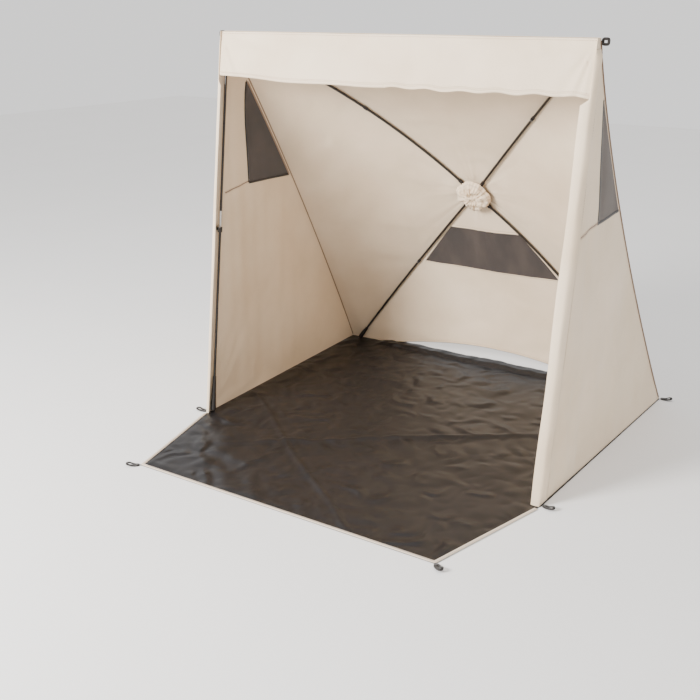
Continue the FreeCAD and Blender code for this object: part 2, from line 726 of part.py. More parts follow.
def make_side(side):
    """The flat side wall with its three-cornered window, and the sleeve down its front edge."""
    top, foot, back = wall_line(side)
    outside = unit((back - foot).cross(top - foot)) * SIDES[side]
    if outside.x * SIDES[side] < 0:
        outside = outside * -1
    skin = outside * size("fabric_thickness")
    lead = Vector(0, -size("wall_lead"), 0)
    seam = Vector(0, -size("seam_gap"), 0)
    along = back - top

    def on_wall(depth, height):
        """The point of the wall's plane at this depth and height."""
        normal = outside
        x = foot.x - (normal.y * (depth - foot.y) + normal.z * (height - foot.z)) / normal.x
        return Vector(x, depth, height)

    def flat(point):
        return on_wall(point.y, point.z)

    corners = [flat(foot + lead), flat(back + seam), flat(top + seam), flat(top + lead)]
    inset = seam - Vector(0, size("window_seam") * along.Length / abs(along.z), 0)

    def seam_depth(height):
        return top.y + along.y * (height - top.z) / along.z + inset.y

    front, low = size("window_depth"), size("window_bottom")
    apex = top.z + along.z * (front - inset.y - top.y) / along.y
    window = [on_wall(front, low), on_wall(seam_depth(low), low), on_wall(front, apex)]
    fabric(side + "_wall", flat_panel(corners, skin, [window]))
    fabric(side + "_window", flat_panel(window, skin))
    width = Vector(0, size("sleeve_width"), 0)
    hem_top = top + lead - (top - foot) * 0.02
    hem = [foot + lead, foot + lead + width, hem_top + width, hem_top]
    fabric(side + "_leg_sleeve", flat_panel([flat(point) + skin for point in hem], skin))


def make_valance(side):
    """Half of the valance: a narrow strip on top and the part that hangs in front of the leg."""
    way = SIDES[side]
    top, foot, back = wall_line(side)
    low = top.z - size("valance_height")
    lines = ((top.y - 1, top.z - 1), (top.y - size("valance_gap"), top.z - 1),
             (top.y * low / top.z - size("valance_gap"), low))
    ends = (GAP + 0.3, abs(top.x) / 2, abs(top.x) - 5)
    grid = [[Vector(way * x, y, z) for x in ends] for y, z in lines]
    fabric("valance_" + side, curved_panel(grid, Vector(0, 1, -1) * (size("fabric_thickness") / 1.5)))


def webbing(corner, way, length, rise):
    """A flat piece of webbing with a slot in it, from corner along way, as thick as rise."""
    across = unit(rise.cross(way)) * size("webbing_width")
    edge = 5
    inner = corner + way * edge + unit(across) * edge
    span, width = way * (length - 2 * edge), unit(across) * (size("webbing_width") - 2 * edge)
    outline = [corner, corner + way * length, corner + way * length + across, corner + across]
    slot = [inner, inner + span, inner + span + width, inner + width]
    return flat_panel(outline, rise, [slot])


def make_guy_tab(side):
    """Webbing tab with a slot for a guy line, at the top corner."""
    way = X * SIDES[side]
    top = wall_line(side)[0]
    rise = Y * size("webbing_thickness")
    corner = Vector(top.x, top.y + 2, top.z) + way * 4
    if rise.cross(way).z > 0:
        corner = corner - Z * size("webbing_width")
    fabric(side + "_guy_tab", webbing(corner, way, size("tab_length"), rise))


def make_floor():
    """The floor sheet that runs on as a porch, its binding, and six webbing loops for the stakes."""
    back = size("sheet_back_width") / 2
    front = size("front_width") / 2 + size("floor_margin")
    porch = size("porch_width") / 2
    outline = [Vector(back, size("floor_depth"), 0), Vector(-back, size("floor_depth"), 0),
               Vector(-front, -size("floor_margin") / 2, 0), Vector(-porch, -size("porch_depth"), 0),
               Vector(porch, -size("porch_depth"), 0), Vector(front, -size("floor_margin") / 2, 0)]
    fabric("ground_sheet", flat_panel(outline, Z * FLOOR_TOP))

    run = unit(outline[3] - outline[2])
    start = outline[2] + run * 2 * size("binding_width")
    path = [start, outline[3], outline[4], mirrored(start)]
    width = size("binding_width")
    inner_start = start + Vector(-run.y, run.x, 0) * width
    slant = (1 - abs(run.x)) / abs(run.y)
    inner_corner = outline[3] + Vector(width * slant, width, 0)
    path += [mirrored(inner_start), mirrored(inner_corner), inner_corner, inner_start]
    fabric("porch_binding", flat_panel([point + Z * FLOOR_TOP for point in path],
                                       Z * size("binding_thickness")))

    loops = []
    for corner, way in ((outline[1], Vector(-1, 0, 0)), (outline[2], Vector(-0.9, -0.3, 0)),
                        (outline[3], Vector(-0.75, -0.65, 0))):
        way = unit(way)
        across = unit(Z.cross(way))
        start = corner - across * (size("webbing_width") / 2) + way * 4
        loop = webbing(start, way, size("loop_length"), Z * size("webbing_thickness"))
        loops += [loop, loop.mirror(Vector(), X)]
    fabric("stake_loops", Part.makeCompound(loops))


def mirrored(point):
    return Vector(-point.x, point.y, point.z)


make_hub()
make_hub_cap()
make_pull_strap()
for level, side in rods:
    make_rod(level, side)
    make_rod_eye(level, side)
    make_tie(level, side)
for side in SIDES:
    make_rod_boot(side)
    make_corner_joint(side)
    make_leg_fork(side)
    make_leg_rivets(side)
    make_upper_pole(side)
    make_ferrule(side)
    make_collar(side)
    make_lower_pole(side)
    make_leg_boot(side)
    make_side(side)
    make_valance(side)
    make_guy_tab(side)
make_back_wall()
make_floor()
doc.recompute()

for item in doc.Objects:
    if "Invalid" in item.State or "Error" in item.State:
        raise ValueError("not worked out: " + item.Name)
os.makedirs("parts", exist_ok=True)
for name in sorted(pieces):
    shape = pieces[name].Shape
    if shape.isNull() or not shape.isValid():
        raise ValueError("bad shape: " + name)
    shape.exportStep("parts/%s.step" % name)
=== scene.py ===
import math

import bmesh
import bpy
import numpy as np
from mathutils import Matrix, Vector, noise


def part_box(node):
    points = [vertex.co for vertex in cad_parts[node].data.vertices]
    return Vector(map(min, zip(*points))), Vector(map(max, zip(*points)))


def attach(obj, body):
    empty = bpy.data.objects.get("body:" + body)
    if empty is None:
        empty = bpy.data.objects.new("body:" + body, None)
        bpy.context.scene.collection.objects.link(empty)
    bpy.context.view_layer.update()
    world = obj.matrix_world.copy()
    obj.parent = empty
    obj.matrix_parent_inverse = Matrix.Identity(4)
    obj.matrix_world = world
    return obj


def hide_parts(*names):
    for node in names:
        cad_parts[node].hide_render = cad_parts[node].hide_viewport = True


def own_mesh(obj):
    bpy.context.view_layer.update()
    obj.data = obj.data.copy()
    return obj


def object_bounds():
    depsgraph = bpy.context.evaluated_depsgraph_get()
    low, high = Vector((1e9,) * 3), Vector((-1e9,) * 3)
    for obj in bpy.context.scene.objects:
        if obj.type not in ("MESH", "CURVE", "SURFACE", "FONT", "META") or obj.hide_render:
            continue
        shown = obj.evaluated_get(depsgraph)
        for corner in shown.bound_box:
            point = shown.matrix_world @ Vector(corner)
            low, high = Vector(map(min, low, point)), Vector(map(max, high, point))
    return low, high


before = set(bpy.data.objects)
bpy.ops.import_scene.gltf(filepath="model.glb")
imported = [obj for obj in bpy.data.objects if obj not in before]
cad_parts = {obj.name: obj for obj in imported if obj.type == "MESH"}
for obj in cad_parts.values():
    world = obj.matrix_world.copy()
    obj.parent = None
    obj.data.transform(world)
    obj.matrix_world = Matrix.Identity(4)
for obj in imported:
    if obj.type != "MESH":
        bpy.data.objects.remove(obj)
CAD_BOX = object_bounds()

bl_info = {
    "name": "Pop-up sun shelter",
    "version": (1, 0, 0),
    "blender": (4, 5, 0),
    "location": "3D View > Sidebar > Shelter",
    "description": "Cloth, tapes, stitching and finishes of a three-walled hub-frame shelter",
    "category": "Object",
}

# ---- the shelter's lines, in metres, as its frame is built

SIDES = {"left": -1, "right": 1}
X = np.array((1.0, 0.0, 0.0))
Y = np.array((0.0, 1.0, 0.0))
Z = np.array((0.0, 0.0, 1.0))
HEIGHT = 1.905
TOP_SETBACK = 0.247
FLOOR_DEPTH = 1.470
PORCH_DEPTH = 0.673
BACK_HALF = 0.9985          # half widths of the ground sheet: back edge, beside the legs, front edge
FRONT_HALF = 0.940
PORCH_HALF = 0.7795
LEG_LINE = -0.0125          # where the ground sheet's sides turn in to the porch
HUB_UP = 1.086              # from the back edge of the floor, up the back wall's slope
HUB_RISE = 0.292
PIN_CIRCLE = 0.052
ROD_START = 0.078
ROD_RADIUS = 0.00635
ROD_END = {"upper": (0.918, 0.256, 1.884), "lower": (0.916, 1.440, 0.0154)}
CLOTH_OVER_ROD = 0.01385
CLOTH_OVER_END = {"upper": 0.01585, "lower": 0.030}
CENTRE_HOLE = 0.116
NET_TOP = 0.350             # the net in the bottom panel, along its rods from the hub's axis
NET_LOW = 0.700
ARCH_RISE = 0.105
ARCH_HALF = 0.725
WALL_TOP = (0.9403, 0.247, 1.905)
WALL_FOOT = (0.932, 0.0, 0.0024)
WALL_BACK = (0.9945, 1.468, 0.0024)
WALL_LEAD = 0.035           # how far the side wall stands in front of its leg
WINDOW_DEPTH = 0.380
WINDOW_LOW = 1.153
WINDOW_SEAM = 0.015
SEAM_BOW = 0.052            # how far the tight back seam pulls in between its ends
SLEEVE_WIDTH = 0.080
VALANCE_DROP = 0.222
VALANCE_HALF = 0.9353
CLOTH = 0.0010
LEG_FOOT = (0.915, 0.0)
SLEEVE_TOP = 1.862
SLEEVE_OPEN = 1.68          # below here the sleeve turns in before its leg, by these widths
TURNED_IN = {"left": 0.014, "right": 0.036}


def unit(vector):
    return vector / np.linalg.norm(vector)


BACK_EDGE = np.array((0.0, FLOOR_DEPTH, 0.0))
SLOPE = unit(np.array((0.0, TOP_SETBACK, HEIGHT)) - BACK_EDGE)
OUTWARD = np.array((0.0, SLOPE[2], -SLOPE[1]))
HUB = BACK_EDGE + SLOPE * HUB_UP + OUTWARD * HUB_RISE


def on_side(point, side):
    """A place given for the right side, on this side."""
    return np.array((point[0] * SIDES[side], point[1], point[2]))


class Rod:
    """The line of one bowed rod, out from the hub's axis."""

    def __init__(self, level, side):
        self.end = on_side(ROD_END[level], side)
        reach = self.end - HUB
        drop = -reach @ OUTWARD
        across = reach + OUTWARD * drop
        self.length = np.linalg.norm(across)
        self.out = across / self.length
        run = self.length - ROD_START
        self.bend = (run ** 2 + drop ** 2) / (2 * drop)

    def at(self, radius):
        """Points of the rod's centre line at these distances from the hub's axis."""
        radius = np.atleast_1d(radius)
        run = np.maximum(radius - ROD_START, 0)
        sag = self.bend - np.sqrt(self.bend ** 2 - run ** 2)
        return HUB + radius[:, None] * self.out - sag[:, None] * OUTWARD


RODS = {(level, side): Rod(level, side) for level in ROD_END for side in SIDES}


# ---- sizes and colours a user would change

def linear(code):
    """An sRGB hex value as a linear colour."""
    parts = [int(code[i:i + 2], 16) / 255 for i in (0, 2, 4)]
    return tuple(p / 12.92 if p <= 0.04045 else ((p + 0.055) / 1.055) ** 2.4 for p in parts)


def length(name, description, default):
    return bpy.props.FloatProperty(name=name, description=description, default=default, unit="LENGTH")


def colour(name, description, code):
    return bpy.props.FloatVectorProperty(name=name, description=description, subtype="COLOR",
                                         size=3, min=0, max=1, default=linear(code))


class ShelterSizes(bpy.types.PropertyGroup):
    """How the shelter's cloth hangs, and how wide its tapes are."""

    panel_sag: length("Panel sag", "How far a back panel sags between its rods", 0.010)
    panel_wrinkle: length("Panel wrinkles", "Height of the soft waves in the back panels", 0.009)
    wall_fold: length("Wall folds", "Height of the upright folds in the side walls", 0.018)
    valance_dent: length("Valance dents", "How far the valance swings in and out", 0.016)
    floor_wrinkle: length("Ground sheet wrinkles", "Height of the ground sheet's wrinkles", 0.012)
    gather_height: length("Gathers", "Height of the gathers in the hub cover", 0.011)
    seam_tape: length("Seam tape", "Width of the bias tape on the side seams", 0.010)
    window_tape: length("Window tape", "Width of the tape round the windows", 0.012)
    porch_tape: length("Porch tape", "Width of the binding round the porch", 0.016)
    webbing: length("Webbing", "Width of the stake loops' webbing across one leg", 0.012)
    stitch_pitch: length("Stitch pitch", "From one stitch to the next", 0.011)
    stitch_size: length("Stitch size", "Thickness of a stitch", 0.0016)


class ShelterColours(bpy.types.PropertyGroup):
    """The shelter's dyes and finishes."""

    canopy: colour("Canopy", "Dye of the canopy cloth", "EDD9BF")
    canopy_shade: colour("Canopy shade", "Deeper tone in the canopy cloth", "DFC9AC")
    ground: colour("Ground sheet", "Dye of the ground sheet", "181617")
    ground_shade: colour("Ground sheet shade", "Worn tone of the ground sheet", "201D1E")
    net: colour("Net", "Dye of the window net", "453A34")
    tape: colour("Bias tape", "Dye of the tape on the seams", "8A7260")
    porch: colour("Porch binding", "Dye of the binding round the porch", "CBBBA8")
    black: colour("Black goods", "Webbing, mouldings and rods", "1D1816")
    thread: colour("Thread", "Sewing thread on the canopy", "B9A48E")


def sizes():
    return bpy.context.scene.shelter_sizes


def colours():
    return bpy.context.scene.shelter_colours


# ---- finishes

def add(tree, kind, settings=None, links=None):
    """Adds a node with its settings and its links, and returns it."""
    made = tree.nodes.new(kind)
    for name, value in (settings or {}).items():
        if isinstance(name, str) and hasattr(made, name):
            setattr(made, name, value)
        else:
            made.inputs[name].default_value = value
    for name, source in (links or {}).items():
        tree.links.new(source, made.inputs[name])
    return made


def new_finish(name):
    """An empty material, or the one already made under this name."""
    material = bpy.data.materials.get(name)
    if material:
        return material, None
    material = bpy.data.materials.new(name)
    material.use_nodes = True
    material.node_tree.nodes.clear()
    return material, material.node_tree


def opaque(value):
    return (*value, 1.0)


def surface(tree, settings, links):
    shader = add(tree, "ShaderNodeBsdfPrincipled", settings, links)
    add(tree, "ShaderNodeOutputMaterial", links={"Surface": shader.outputs["BSDF"]})


def waves(tree, vector, direction, pitch):
    """Straight bands of this pitch in metres. A band texture repeats every 0.314 / scale."""
    return add(tree, "ShaderNodeTexWave",
               {"bands_direction": direction, "Scale": 0.314 / pitch, "Detail": 0.0},
               {"Vector": vector}).outputs["Fac"]


def woven(name, face, shade, pitch, crumple, creases, rough, sheen, gloss):
    """Plain woven cloth: crossing threads, crumpled by packing, with a slightly uneven dye.
    pitch is the drawn thread spacing, and crumple the size of the small creases."""
    material, tree = new_finish(name)
    if tree is None:
        return material
    place = add(tree, "ShaderNodeTexCoord").outputs
    warp, weft = waves(tree, place["UV"], "X", pitch), waves(tree, place["UV"], "Y", pitch)
    threads = add(tree, "ShaderNodeMath", {"operation": "MULTIPLY"}, {0: warp, 1: weft})
    dye = add(tree, "ShaderNodeTexNoise", {"Scale": 2.2, "Detail": 5.0, "Roughness": 0.6},
              {"Vector": place["Object"]})
    tone = add(tree, "ShaderNodeMapRange", {"From Min": 0.3, "From Max": 0.7},
               {"Value": dye.outputs["Fac"]})
    mixed = add(tree, "ShaderNodeMix", {"data_type": "RGBA", 6: opaque(face), 7: opaque(shade)},
                {0: tone.outputs["Result"]})
    small = add(tree, "ShaderNodeTexNoise",
                {"noise_type": "RIDGED_MULTIFRACTAL", "Scale": 1 / crumple, "Detail": 4.0,
                 "Roughness": 0.5, "Distortion": 0.5}, {"Vector": place["Object"]})
    packed = add(tree, "ShaderNodeBump", {"Strength": 1.0, "Distance": creases},
                 {"Height": small.outputs["Fac"]})
    weave = add(tree, "ShaderNodeBump", {"Strength": 0.5, "Distance": 0.0003},
                {"Height": threads.outputs["Value"], "Normal": packed.outputs["Normal"]})
    surface(tree, {"Roughness": rough, "Sheen Weight": sheen, "Sheen Roughness": 0.5,
                   "Specular IOR Level": gloss},
            {"Base Color": mixed.outputs[2], "Normal": weave.outputs["Normal"]})
    return material


def canopy_cloth():
    # Polyester taffeta, plain weave, dyed cream: soft, faintly silky, with small packing creases.
    # Its threads are 0.2 mm apart and are drawn at 3 mm, so that the weave shows.
    dyes = colours()
    return woven("polyester_taffeta_plain_weave", dyes.canopy, dyes.canopy_shade,
                 0.003, 0.19, 0.0075, 0.62, 0.12, 0.35)


def ground_cloth():
    # Coated oxford cloth, dark brown-grey: matt with a cool gloss on its many sharp creases.
    # Its threads are 0.5 mm apart and are drawn at 4 mm.
    dyes = colours()
    return woven("coated_oxford_ground_cloth", dyes.ground, dyes.ground_shade,
                 0.004, 0.14, 0.0380, 0.42, 0.0, 0.36)


def net_cloth():
    # Knitted polyester no-see-um net: a dark veil that lets about a seventh of the light through.
    # Its holes are 0.6 mm and too fine to show, so threads are drawn at 5 mm on an even veil.
    material, tree = new_finish("knitted_polyester_net")
    if tree is None:
        return material
    place = add(tree, "ShaderNodeTexCoord").outputs
    across, along = waves(tree, place["UV"], "X", 0.005), waves(tree, place["UV"], "Y", 0.005)
    knots = add(tree, "ShaderNodeMath", {"operation": "MAXIMUM"}, {0: across, 1: along})
    slanted = add(tree, "ShaderNodeMapping", {"Scale": (9.0, 3.0, 4.0), "Rotation": (0.3, 0.5, 0.4)},
                  {"Vector": place["Object"]})
    noisy = add(tree, "ShaderNodeTexNoise", {"Scale": 1.0, "Detail": 3.0},
                {"Vector": slanted.outputs["Vector"]})
    streaks = add(tree, "ShaderNodeMapRange", {"From Min": 0.35, "From Max": 0.62},
                  {"Value": noisy.outputs["Fac"]})
    net = colours().net
    deep = tuple(part * 0.6 for part in net)
    tone = add(tree, "ShaderNodeMix", {"data_type": "RGBA", 6: opaque(deep), 7: opaque(net)},
               {0: streaks.outputs["Result"]})
    bump = add(tree, "ShaderNodeBump", {"Strength": 0.6, "Distance": 0.0006},
               {"Height": knots.outputs["Value"]})
    surface(tree, {"Roughness": 0.7, "Alpha": 0.86, "Sheen Weight": 0.2},
            {"Base Color": tone.outputs[2], "Normal": bump.outputs["Normal"]})
    return material


def ribbed(name, base, pitch, rough):
    """Narrow woven goods: ribs across the piece and a slightly fuzzy face."""
    material, tree = new_finish(name)
    if tree is None:
        return material
    place = add(tree, "ShaderNodeTexCoord").outputs["Object"]
    rib = waves(tree, place, "DIAGONAL", pitch)
    fuzz = add(tree, "ShaderNodeTexNoise", {"Scale": 260.0, "Detail": 3.0}, {"Vector": place})
    pale = tuple(min(1.0, part * 1.35 + 0.004) for part in base)
    tone = add(tree, "ShaderNodeMix", {"data_type": "RGBA", 6: opaque(base), 7: opaque(pale)},
               {0: fuzz.outputs["Fac"]})
    height = add(tree, "ShaderNodeMath", {"operation": "ADD"}, {0: rib, 1: fuzz.outputs["Fac"]})
    bump = add(tree, "ShaderNodeBump", {"Strength": 0.7, "Distance": 0.0004},
               {"Height": height.outputs["Value"]})
    surface(tree, {"Roughness": rough, "Sheen Weight": 0.25, "Specular IOR Level": 0.3},
            {"Base Color": tone.outputs[2], "Normal": bump.outputs["Normal"]})
    return material


def black_webbing():
    # Polypropylene webbing, woven black: ribs 1.2 mm apart, drawn at 2.5 mm, and a dull fuzz.
    return ribbed("woven_polypropylene_webbing", colours().black, 0.0025, 0.75)


def seam_tape_cloth():
    # Grosgrain polyester bias tape in brown, sewn over the raw edges of the side seams. Its brown also
    # draws the painted shade strip along the seam from the sleeve to the window.
    return ribbed("grosgrain_bias_tape", colours().tape, 0.003, 0.7)


def porch_tape_cloth():
    # Grosgrain polyester binding in a dusty cream, folded over the ground sheet's edge.
    return ribbed("grosgrain_porch_binding", colours().porch, 0.003, 0.7)


def sewing_thread():
    # Bonded polyester thread, twisted: a pale satin strand.
    return ribbed("bonded_polyester_thread", colours().thread, 0.0012, 0.5)


def streaked(name, base, worn, stretch, height, settings):
    """A drawn or pultruded surface: fine lines along its length, over an uneven tone."""
    material, tree = new_finish(name)
    if tree is None:
        return material
    place = add(tree, "ShaderNodeTexCoord").outputs["Object"]
    along = add(tree, "ShaderNodeMapping", {"Scale": stretch}, {"Vector": place})
    lines = add(tree, "ShaderNodeTexNoise", {"Scale": 1.0, "Detail": 4.0},
                {"Vector": along.outputs["Vector"]})
    tone = add(tree, "ShaderNodeMix", {"data_type": "RGBA", 6: opaque(base), 7: opaque(worn)},
               {0: lines.outputs["Fac"]})
    bump = add(tree, "ShaderNodeBump", {"Strength": 0.4, "Distance": height},
               {"Height": lines.outputs["Fac"]})
    surface(tree, settings, {"Base Color": tone.outputs[2], "Normal": bump.outputs["Normal"]})
    return material


def fibreglass():
    # Pultruded fibreglass rod, black gel: smooth and glossy, with faint lines of glass.
    base = colours().black
    worn = tuple(part * 1.6 for part in base)
    return streaked("pultruded_black_fibreglass", base, worn, (900, 900, 60), 0.0002,
                    {"Roughness": 0.32, "IOR": 1.5})


def moulded_nylon():
    # Nylon 6, injection moulded black with a spark-eroded grain of about 0.4 mm, drawn at 1 mm.
    base = colours().black
    worn = tuple(part * 1.45 for part in base)
    return streaked("spark_eroded_moulded_nylon", base, worn, (1000, 1000, 1000), 0.0002,
                    {"Roughness": 0.55, "IOR": 1.53})


def drawn_aluminium():
    # Drawn aluminium tube, bright: a metal sleeve with hairlines along it.
    return streaked("drawn_aluminium_tube", linear("D9D8D5"), linear("B9B8B5"), (1500, 1500, 40),
                    0.0001, {"Metallic": 1.0, "Roughness": 0.26})


def zinc_steel():
    # Zinc-plated steel fasteners: satin with cloudy patches.
    return streaked("zinc_plated_steel", linear("A9A9AB"), linear("85858A"), (400, 400, 400),
                    0.0001, {"Metallic": 1.0, "Roughness": 0.38})


# ---- making pieces

def wavy(points, size, height, seed=0.0):
    """Soft noise at each point, from -height to height. size is how far apart its waves are, along
    each axis or the same along all."""
    scale = np.broadcast_to(1 / np.array(size, float), 3)
    flat = points.reshape(-1, 3) * scale + seed
    values = [noise.noise(Vector(point)) for point in flat]
    return np.array(values).reshape(points.shape[:-1]) * height


def fan(points, corner, first, second, folds, height, reach):
    """Folds that fan out from a corner where cloth is drawn tight, and fade over reach."""
    away = points - np.array(corner)
    distance = np.linalg.norm(away, axis=-1)
    angle = np.arctan2(away @ np.array(second), away @ np.array(first))
    rise = np.minimum(distance / 0.08, 1.0) * np.exp(-distance / reach)
    return height * rise * np.sin(angle * folds + 2.5 * np.sin(angle * folds * 0.37))


def ease(value):
    value = np.clip(value, 0, 1)
    return value * value * (3 - 2 * value)


def link(name, mesh):
    piece = bpy.data.objects.new(name, mesh)
    bpy.context.scene.collection.objects.link(piece)
    return piece


def set_plain(piece):
    """Turns what a piece's modifiers make into its own plain mesh."""
    graph = bpy.context.evaluated_depsgraph_get()
    made = bpy.data.meshes.new_from_object(piece.evaluated_get(graph),
                                           preserve_all_data_layers=True, depsgraph=graph)
    rough = piece.data
    piece.modifiers.clear()
    piece.data = made
    bpy.data.meshes.remove(rough)
    made.name = piece.name


def patches(name, grids, cloth_map, thickness=CLOTH, kept=None):
    """A sheet of cloth over one or more grids of points, joined where their edges meet, with a UV
    map in metres and a thickness. kept says which cells of a grid are cloth."""
    sheet = bmesh.new()
    for grid in grids:
        rows, columns = grid.shape[:2]
        corners = [[sheet.verts.new(grid[r, c]) for c in range(columns)] for r in range(rows)]
        for r in range(rows - 1):
            for c in range(columns - 1):
                if kept is None or kept(r, c):
                    sheet.faces.new((corners[r][c], corners[r][c + 1],
                                     corners[r + 1][c + 1], corners[r + 1][c]))
    loose = [vert for vert in sheet.verts if not vert.link_faces]
    bmesh.ops.delete(sheet, geom=loose, context="VERTS")
    bmesh.ops.remove_doubles(sheet, verts=sheet.verts, dist=2e-5)
    bmesh.ops.dissolve_degenerate(sheet, edges=sheet.edges, dist=1e-6)
    bmesh.ops.recalc_face_normals(sheet, faces=sheet.faces)
    uv = sheet.loops.layers.uv.new("cloth")
    for face in sheet.faces:
        face.smooth = True
        for corner in face.loops:
            corner[uv].uv = cloth_map(corner.vert.co)
    mesh = bpy.data.meshes.new(name)
    sheet.to_mesh(mesh)
    sheet.free()
    piece = link(name, mesh)
    shell = piece.modifiers.new("thickness", "SOLIDIFY")
    shell.thickness = thickness
    shell.offset = 0
    set_plain(piece)
    piece.data.set_sharp_from_angle(angle=math.radians(50))
    return piece


def finish_piece(piece, body, material, replaced=()):
    """Gives a piece its finish and its body, and hides the CAD nodes that it stands for."""
    piece.data.materials.clear()
    piece.data.materials.append(material)
    for face in piece.data.polygons:
        face.material_index = 0
    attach(piece, body)
    if replaced:
        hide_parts(*replaced)
    return piece


def group_tree(name, inputs):
    """A node group for a modifier, with named inputs after its geometry."""
    tree = bpy.data.node_groups.new(name, "GeometryNodeTree")
    tree.interface.new_socket("Geometry", in_out="INPUT", socket_type="NodeSocketGeometry")
    for label, kind in inputs:
        tree.interface.new_socket(label, in_out="INPUT", socket_type=kind)
    tree.interface.new_socket("Geometry", in_out="OUTPUT", socket_type="NodeSocketGeometry")
    return tree


def close_tree(tree, made, material):
    """Ends a tree in plain geometry with its material."""
    plain = add(tree, "GeometryNodeRealizeInstances", links={"Geometry": made})
    painted = add(tree, "GeometryNodeSetMaterial",
                  links={"Geometry": plain.outputs["Geometry"], "Material": material})
    smooth = add(tree, "GeometryNodeSetShadeSmooth",
                 links={"Geometry": painted.outputs["Geometry"]})
    add(tree, "NodeGroupOutput", links={"Geometry": smooth.outputs["Geometry"]})


def tape_tree():
    """Lays a flat tape along a path: its face looks along the path's own face_out directions."""
    tree = bpy.data.node_groups.get("tape_along_path")
    if tree:
        return tree
    tree = group_tree("tape_along_path", (("Width", "NodeSocketFloat"),
                                          ("Thickness", "NodeSocketFloat"),
                                          ("Material", "NodeSocketMaterial")))
    given = add(tree, "NodeGroupInput").outputs
    path = add(tree, "GeometryNodeMeshToCurve", links={"Mesh": given["Geometry"]})
    faces = add(tree, "GeometryNodeInputNamedAttribute",
                {"data_type": "FLOAT_VECTOR", "Name": "face_out"})
    lie = add(tree, "GeometryNodeSetCurveNormal", {"mode": "FREE"},
              {"Curve": path.outputs["Curve"], "Normal": faces.outputs["Attribute"]})
    section = add(tree, "GeometryNodeCurvePrimitiveQuadrilateral",
                  links={"Width": given["Thickness"], "Height": given["Width"]})
    swept = add(tree, "GeometryNodeCurveToMesh", {"Fill Caps": True},
                {"Curve": lie.outputs["Curve"], "Profile Curve": section.outputs["Curve"]})
    close_tree(tree, swept.outputs["Mesh"], given["Material"])
    return tree


def stitch_tree():
    """Sets stitches one pitch apart along a path, each a short rounded bar that follows it."""
    tree = bpy.data.node_groups.get("stitch_row")
    if tree:
        return tree
    tree = group_tree("stitch_row", (("Pitch", "NodeSocketFloat"), ("Size", "NodeSocketFloat"),
                                     ("Material", "NodeSocketMaterial")))
    given = add(tree, "NodeGroupInput").outputs
    path = add(tree, "GeometryNodeMeshToCurve", links={"Mesh": given["Geometry"]})
    places = add(tree, "GeometryNodeCurveToPoints", {"mode": "LENGTH"},
                 {"Curve": path.outputs["Curve"], "Length": given["Pitch"]})
    reach = add(tree, "ShaderNodeMath", {"operation": "MULTIPLY", 1: 0.62}, {0: given["Pitch"]})
    bar = add(tree, "GeometryNodeMeshCylinder", {"Vertices": 6, "fill_type": "TRIANGLE_FAN"},
              {"Radius": given["Size"], "Depth": reach.outputs["Value"]})
    turn = add(tree, "FunctionNodeAlignRotationToVector", {"axis": "Z"},
               {"Vector": places.outputs["Tangent"]})
    row = add(tree, "GeometryNodeInstanceOnPoints",
              links={"Points": places.outputs["Points"], "Instance": bar.outputs["Mesh"],
                     "Rotation": turn.outputs["Rotation"]})
    close_tree(tree, row.outputs["Instances"], given["Material"])
    return tree


def path_object(name, paths, closed=False):
    """Paths as one mesh of edges. Each path is (points, directions that its face looks in)."""
    points, edges, faces = [], [], []
    for line, out in paths:
        first = len(points)
        points += [tuple(point) for point in line]
        faces += [tuple(way) for way in np.broadcast_to(out, np.shape(line))]
        edges += [(first + i, first + i + 1) for i in range(len(line) - 1)]
        if closed:
            edges.append((first + len(line) - 1, first))
    mesh = bpy.data.meshes.new(name)
    mesh.from_pydata(points, edges, [])
    kept = mesh.attributes.new("face_out", "FLOAT_VECTOR", "POINT")
    kept.data.foreach_set("vector", np.array(faces, np.float32).ravel())
    return link(name, mesh)


def grow(piece, tree, **values):
    """Runs a node tree on a piece with these inputs, and keeps the result as plain mesh."""
    growth = piece.modifiers.new(tree.name, "NODES")
    growth.node_group = tree
    for item in tree.interface.items_tree:
        if item.in_out == "INPUT" and item.name in values:
            growth[item.identifier] = values[item.name]
    set_plain(piece)
    return piece


def tape(name, paths, width, thickness, material, closed=False):
    return grow(path_object(name, paths, closed), tape_tree(),
                Width=width, Thickness=thickness, Material=material)


def stitches(name, lines):
    """Rows of stitches along lines of points."""
    size = sizes()
    return grow(path_object(name, [(line, Z) for line in lines]), stitch_tree(),
                Pitch=size.stitch_pitch, Size=size.stitch_size / 2, Material=sewing_thread())


def between(first, last, count):
    """count points from first to last."""
    share = np.linspace(0, 1, count)[:, None]
    return np.array(first) + (np.array(last) - np.array(first)) * share


# ---- the back wall

SHARES = np.concatenate([[0, 0.04], np.linspace(0.08, 1, 17)])    # across a half panel
NET_COLUMN = 2                                                    # where its net begins
NET_ROWS = (8, 20)


def cloth_edge(level, side):
    """Where a back panel lies over its rod, from near the hub to the corner of the cloth."""
    rod = RODS[level, side]
    radii = np.concatenate([np.linspace(CENTRE_HOLE, NET_TOP, 9)[:-1],
                            np.linspace(NET_TOP, NET_LOW, 13)[:-1],
                            np.linspace(NET_LOW, rod.length - 0.088, 26)])
    line = rod.at(radii) + OUTWARD * CLOTH_OVER_ROD
    tip = rod.end + OUTWARD * CLOTH_OVER_END[level]
    corner = on_side(WALL_TOP if level == "upper" else WALL_BACK, side)
    return np.vstack([line, between(line[-1], tip, 4)[1:], between(tip, corner, 5)[1:]])


def seam_bow(heights):
    """How far the back seam is pulled in at these heights."""
    down = np.clip(1 - heights / HEIGHT, 0, 1)
    return SEAM_BOW * np.sin(math.pi * down) ** 0.7 * (1 - 0.35 * down)


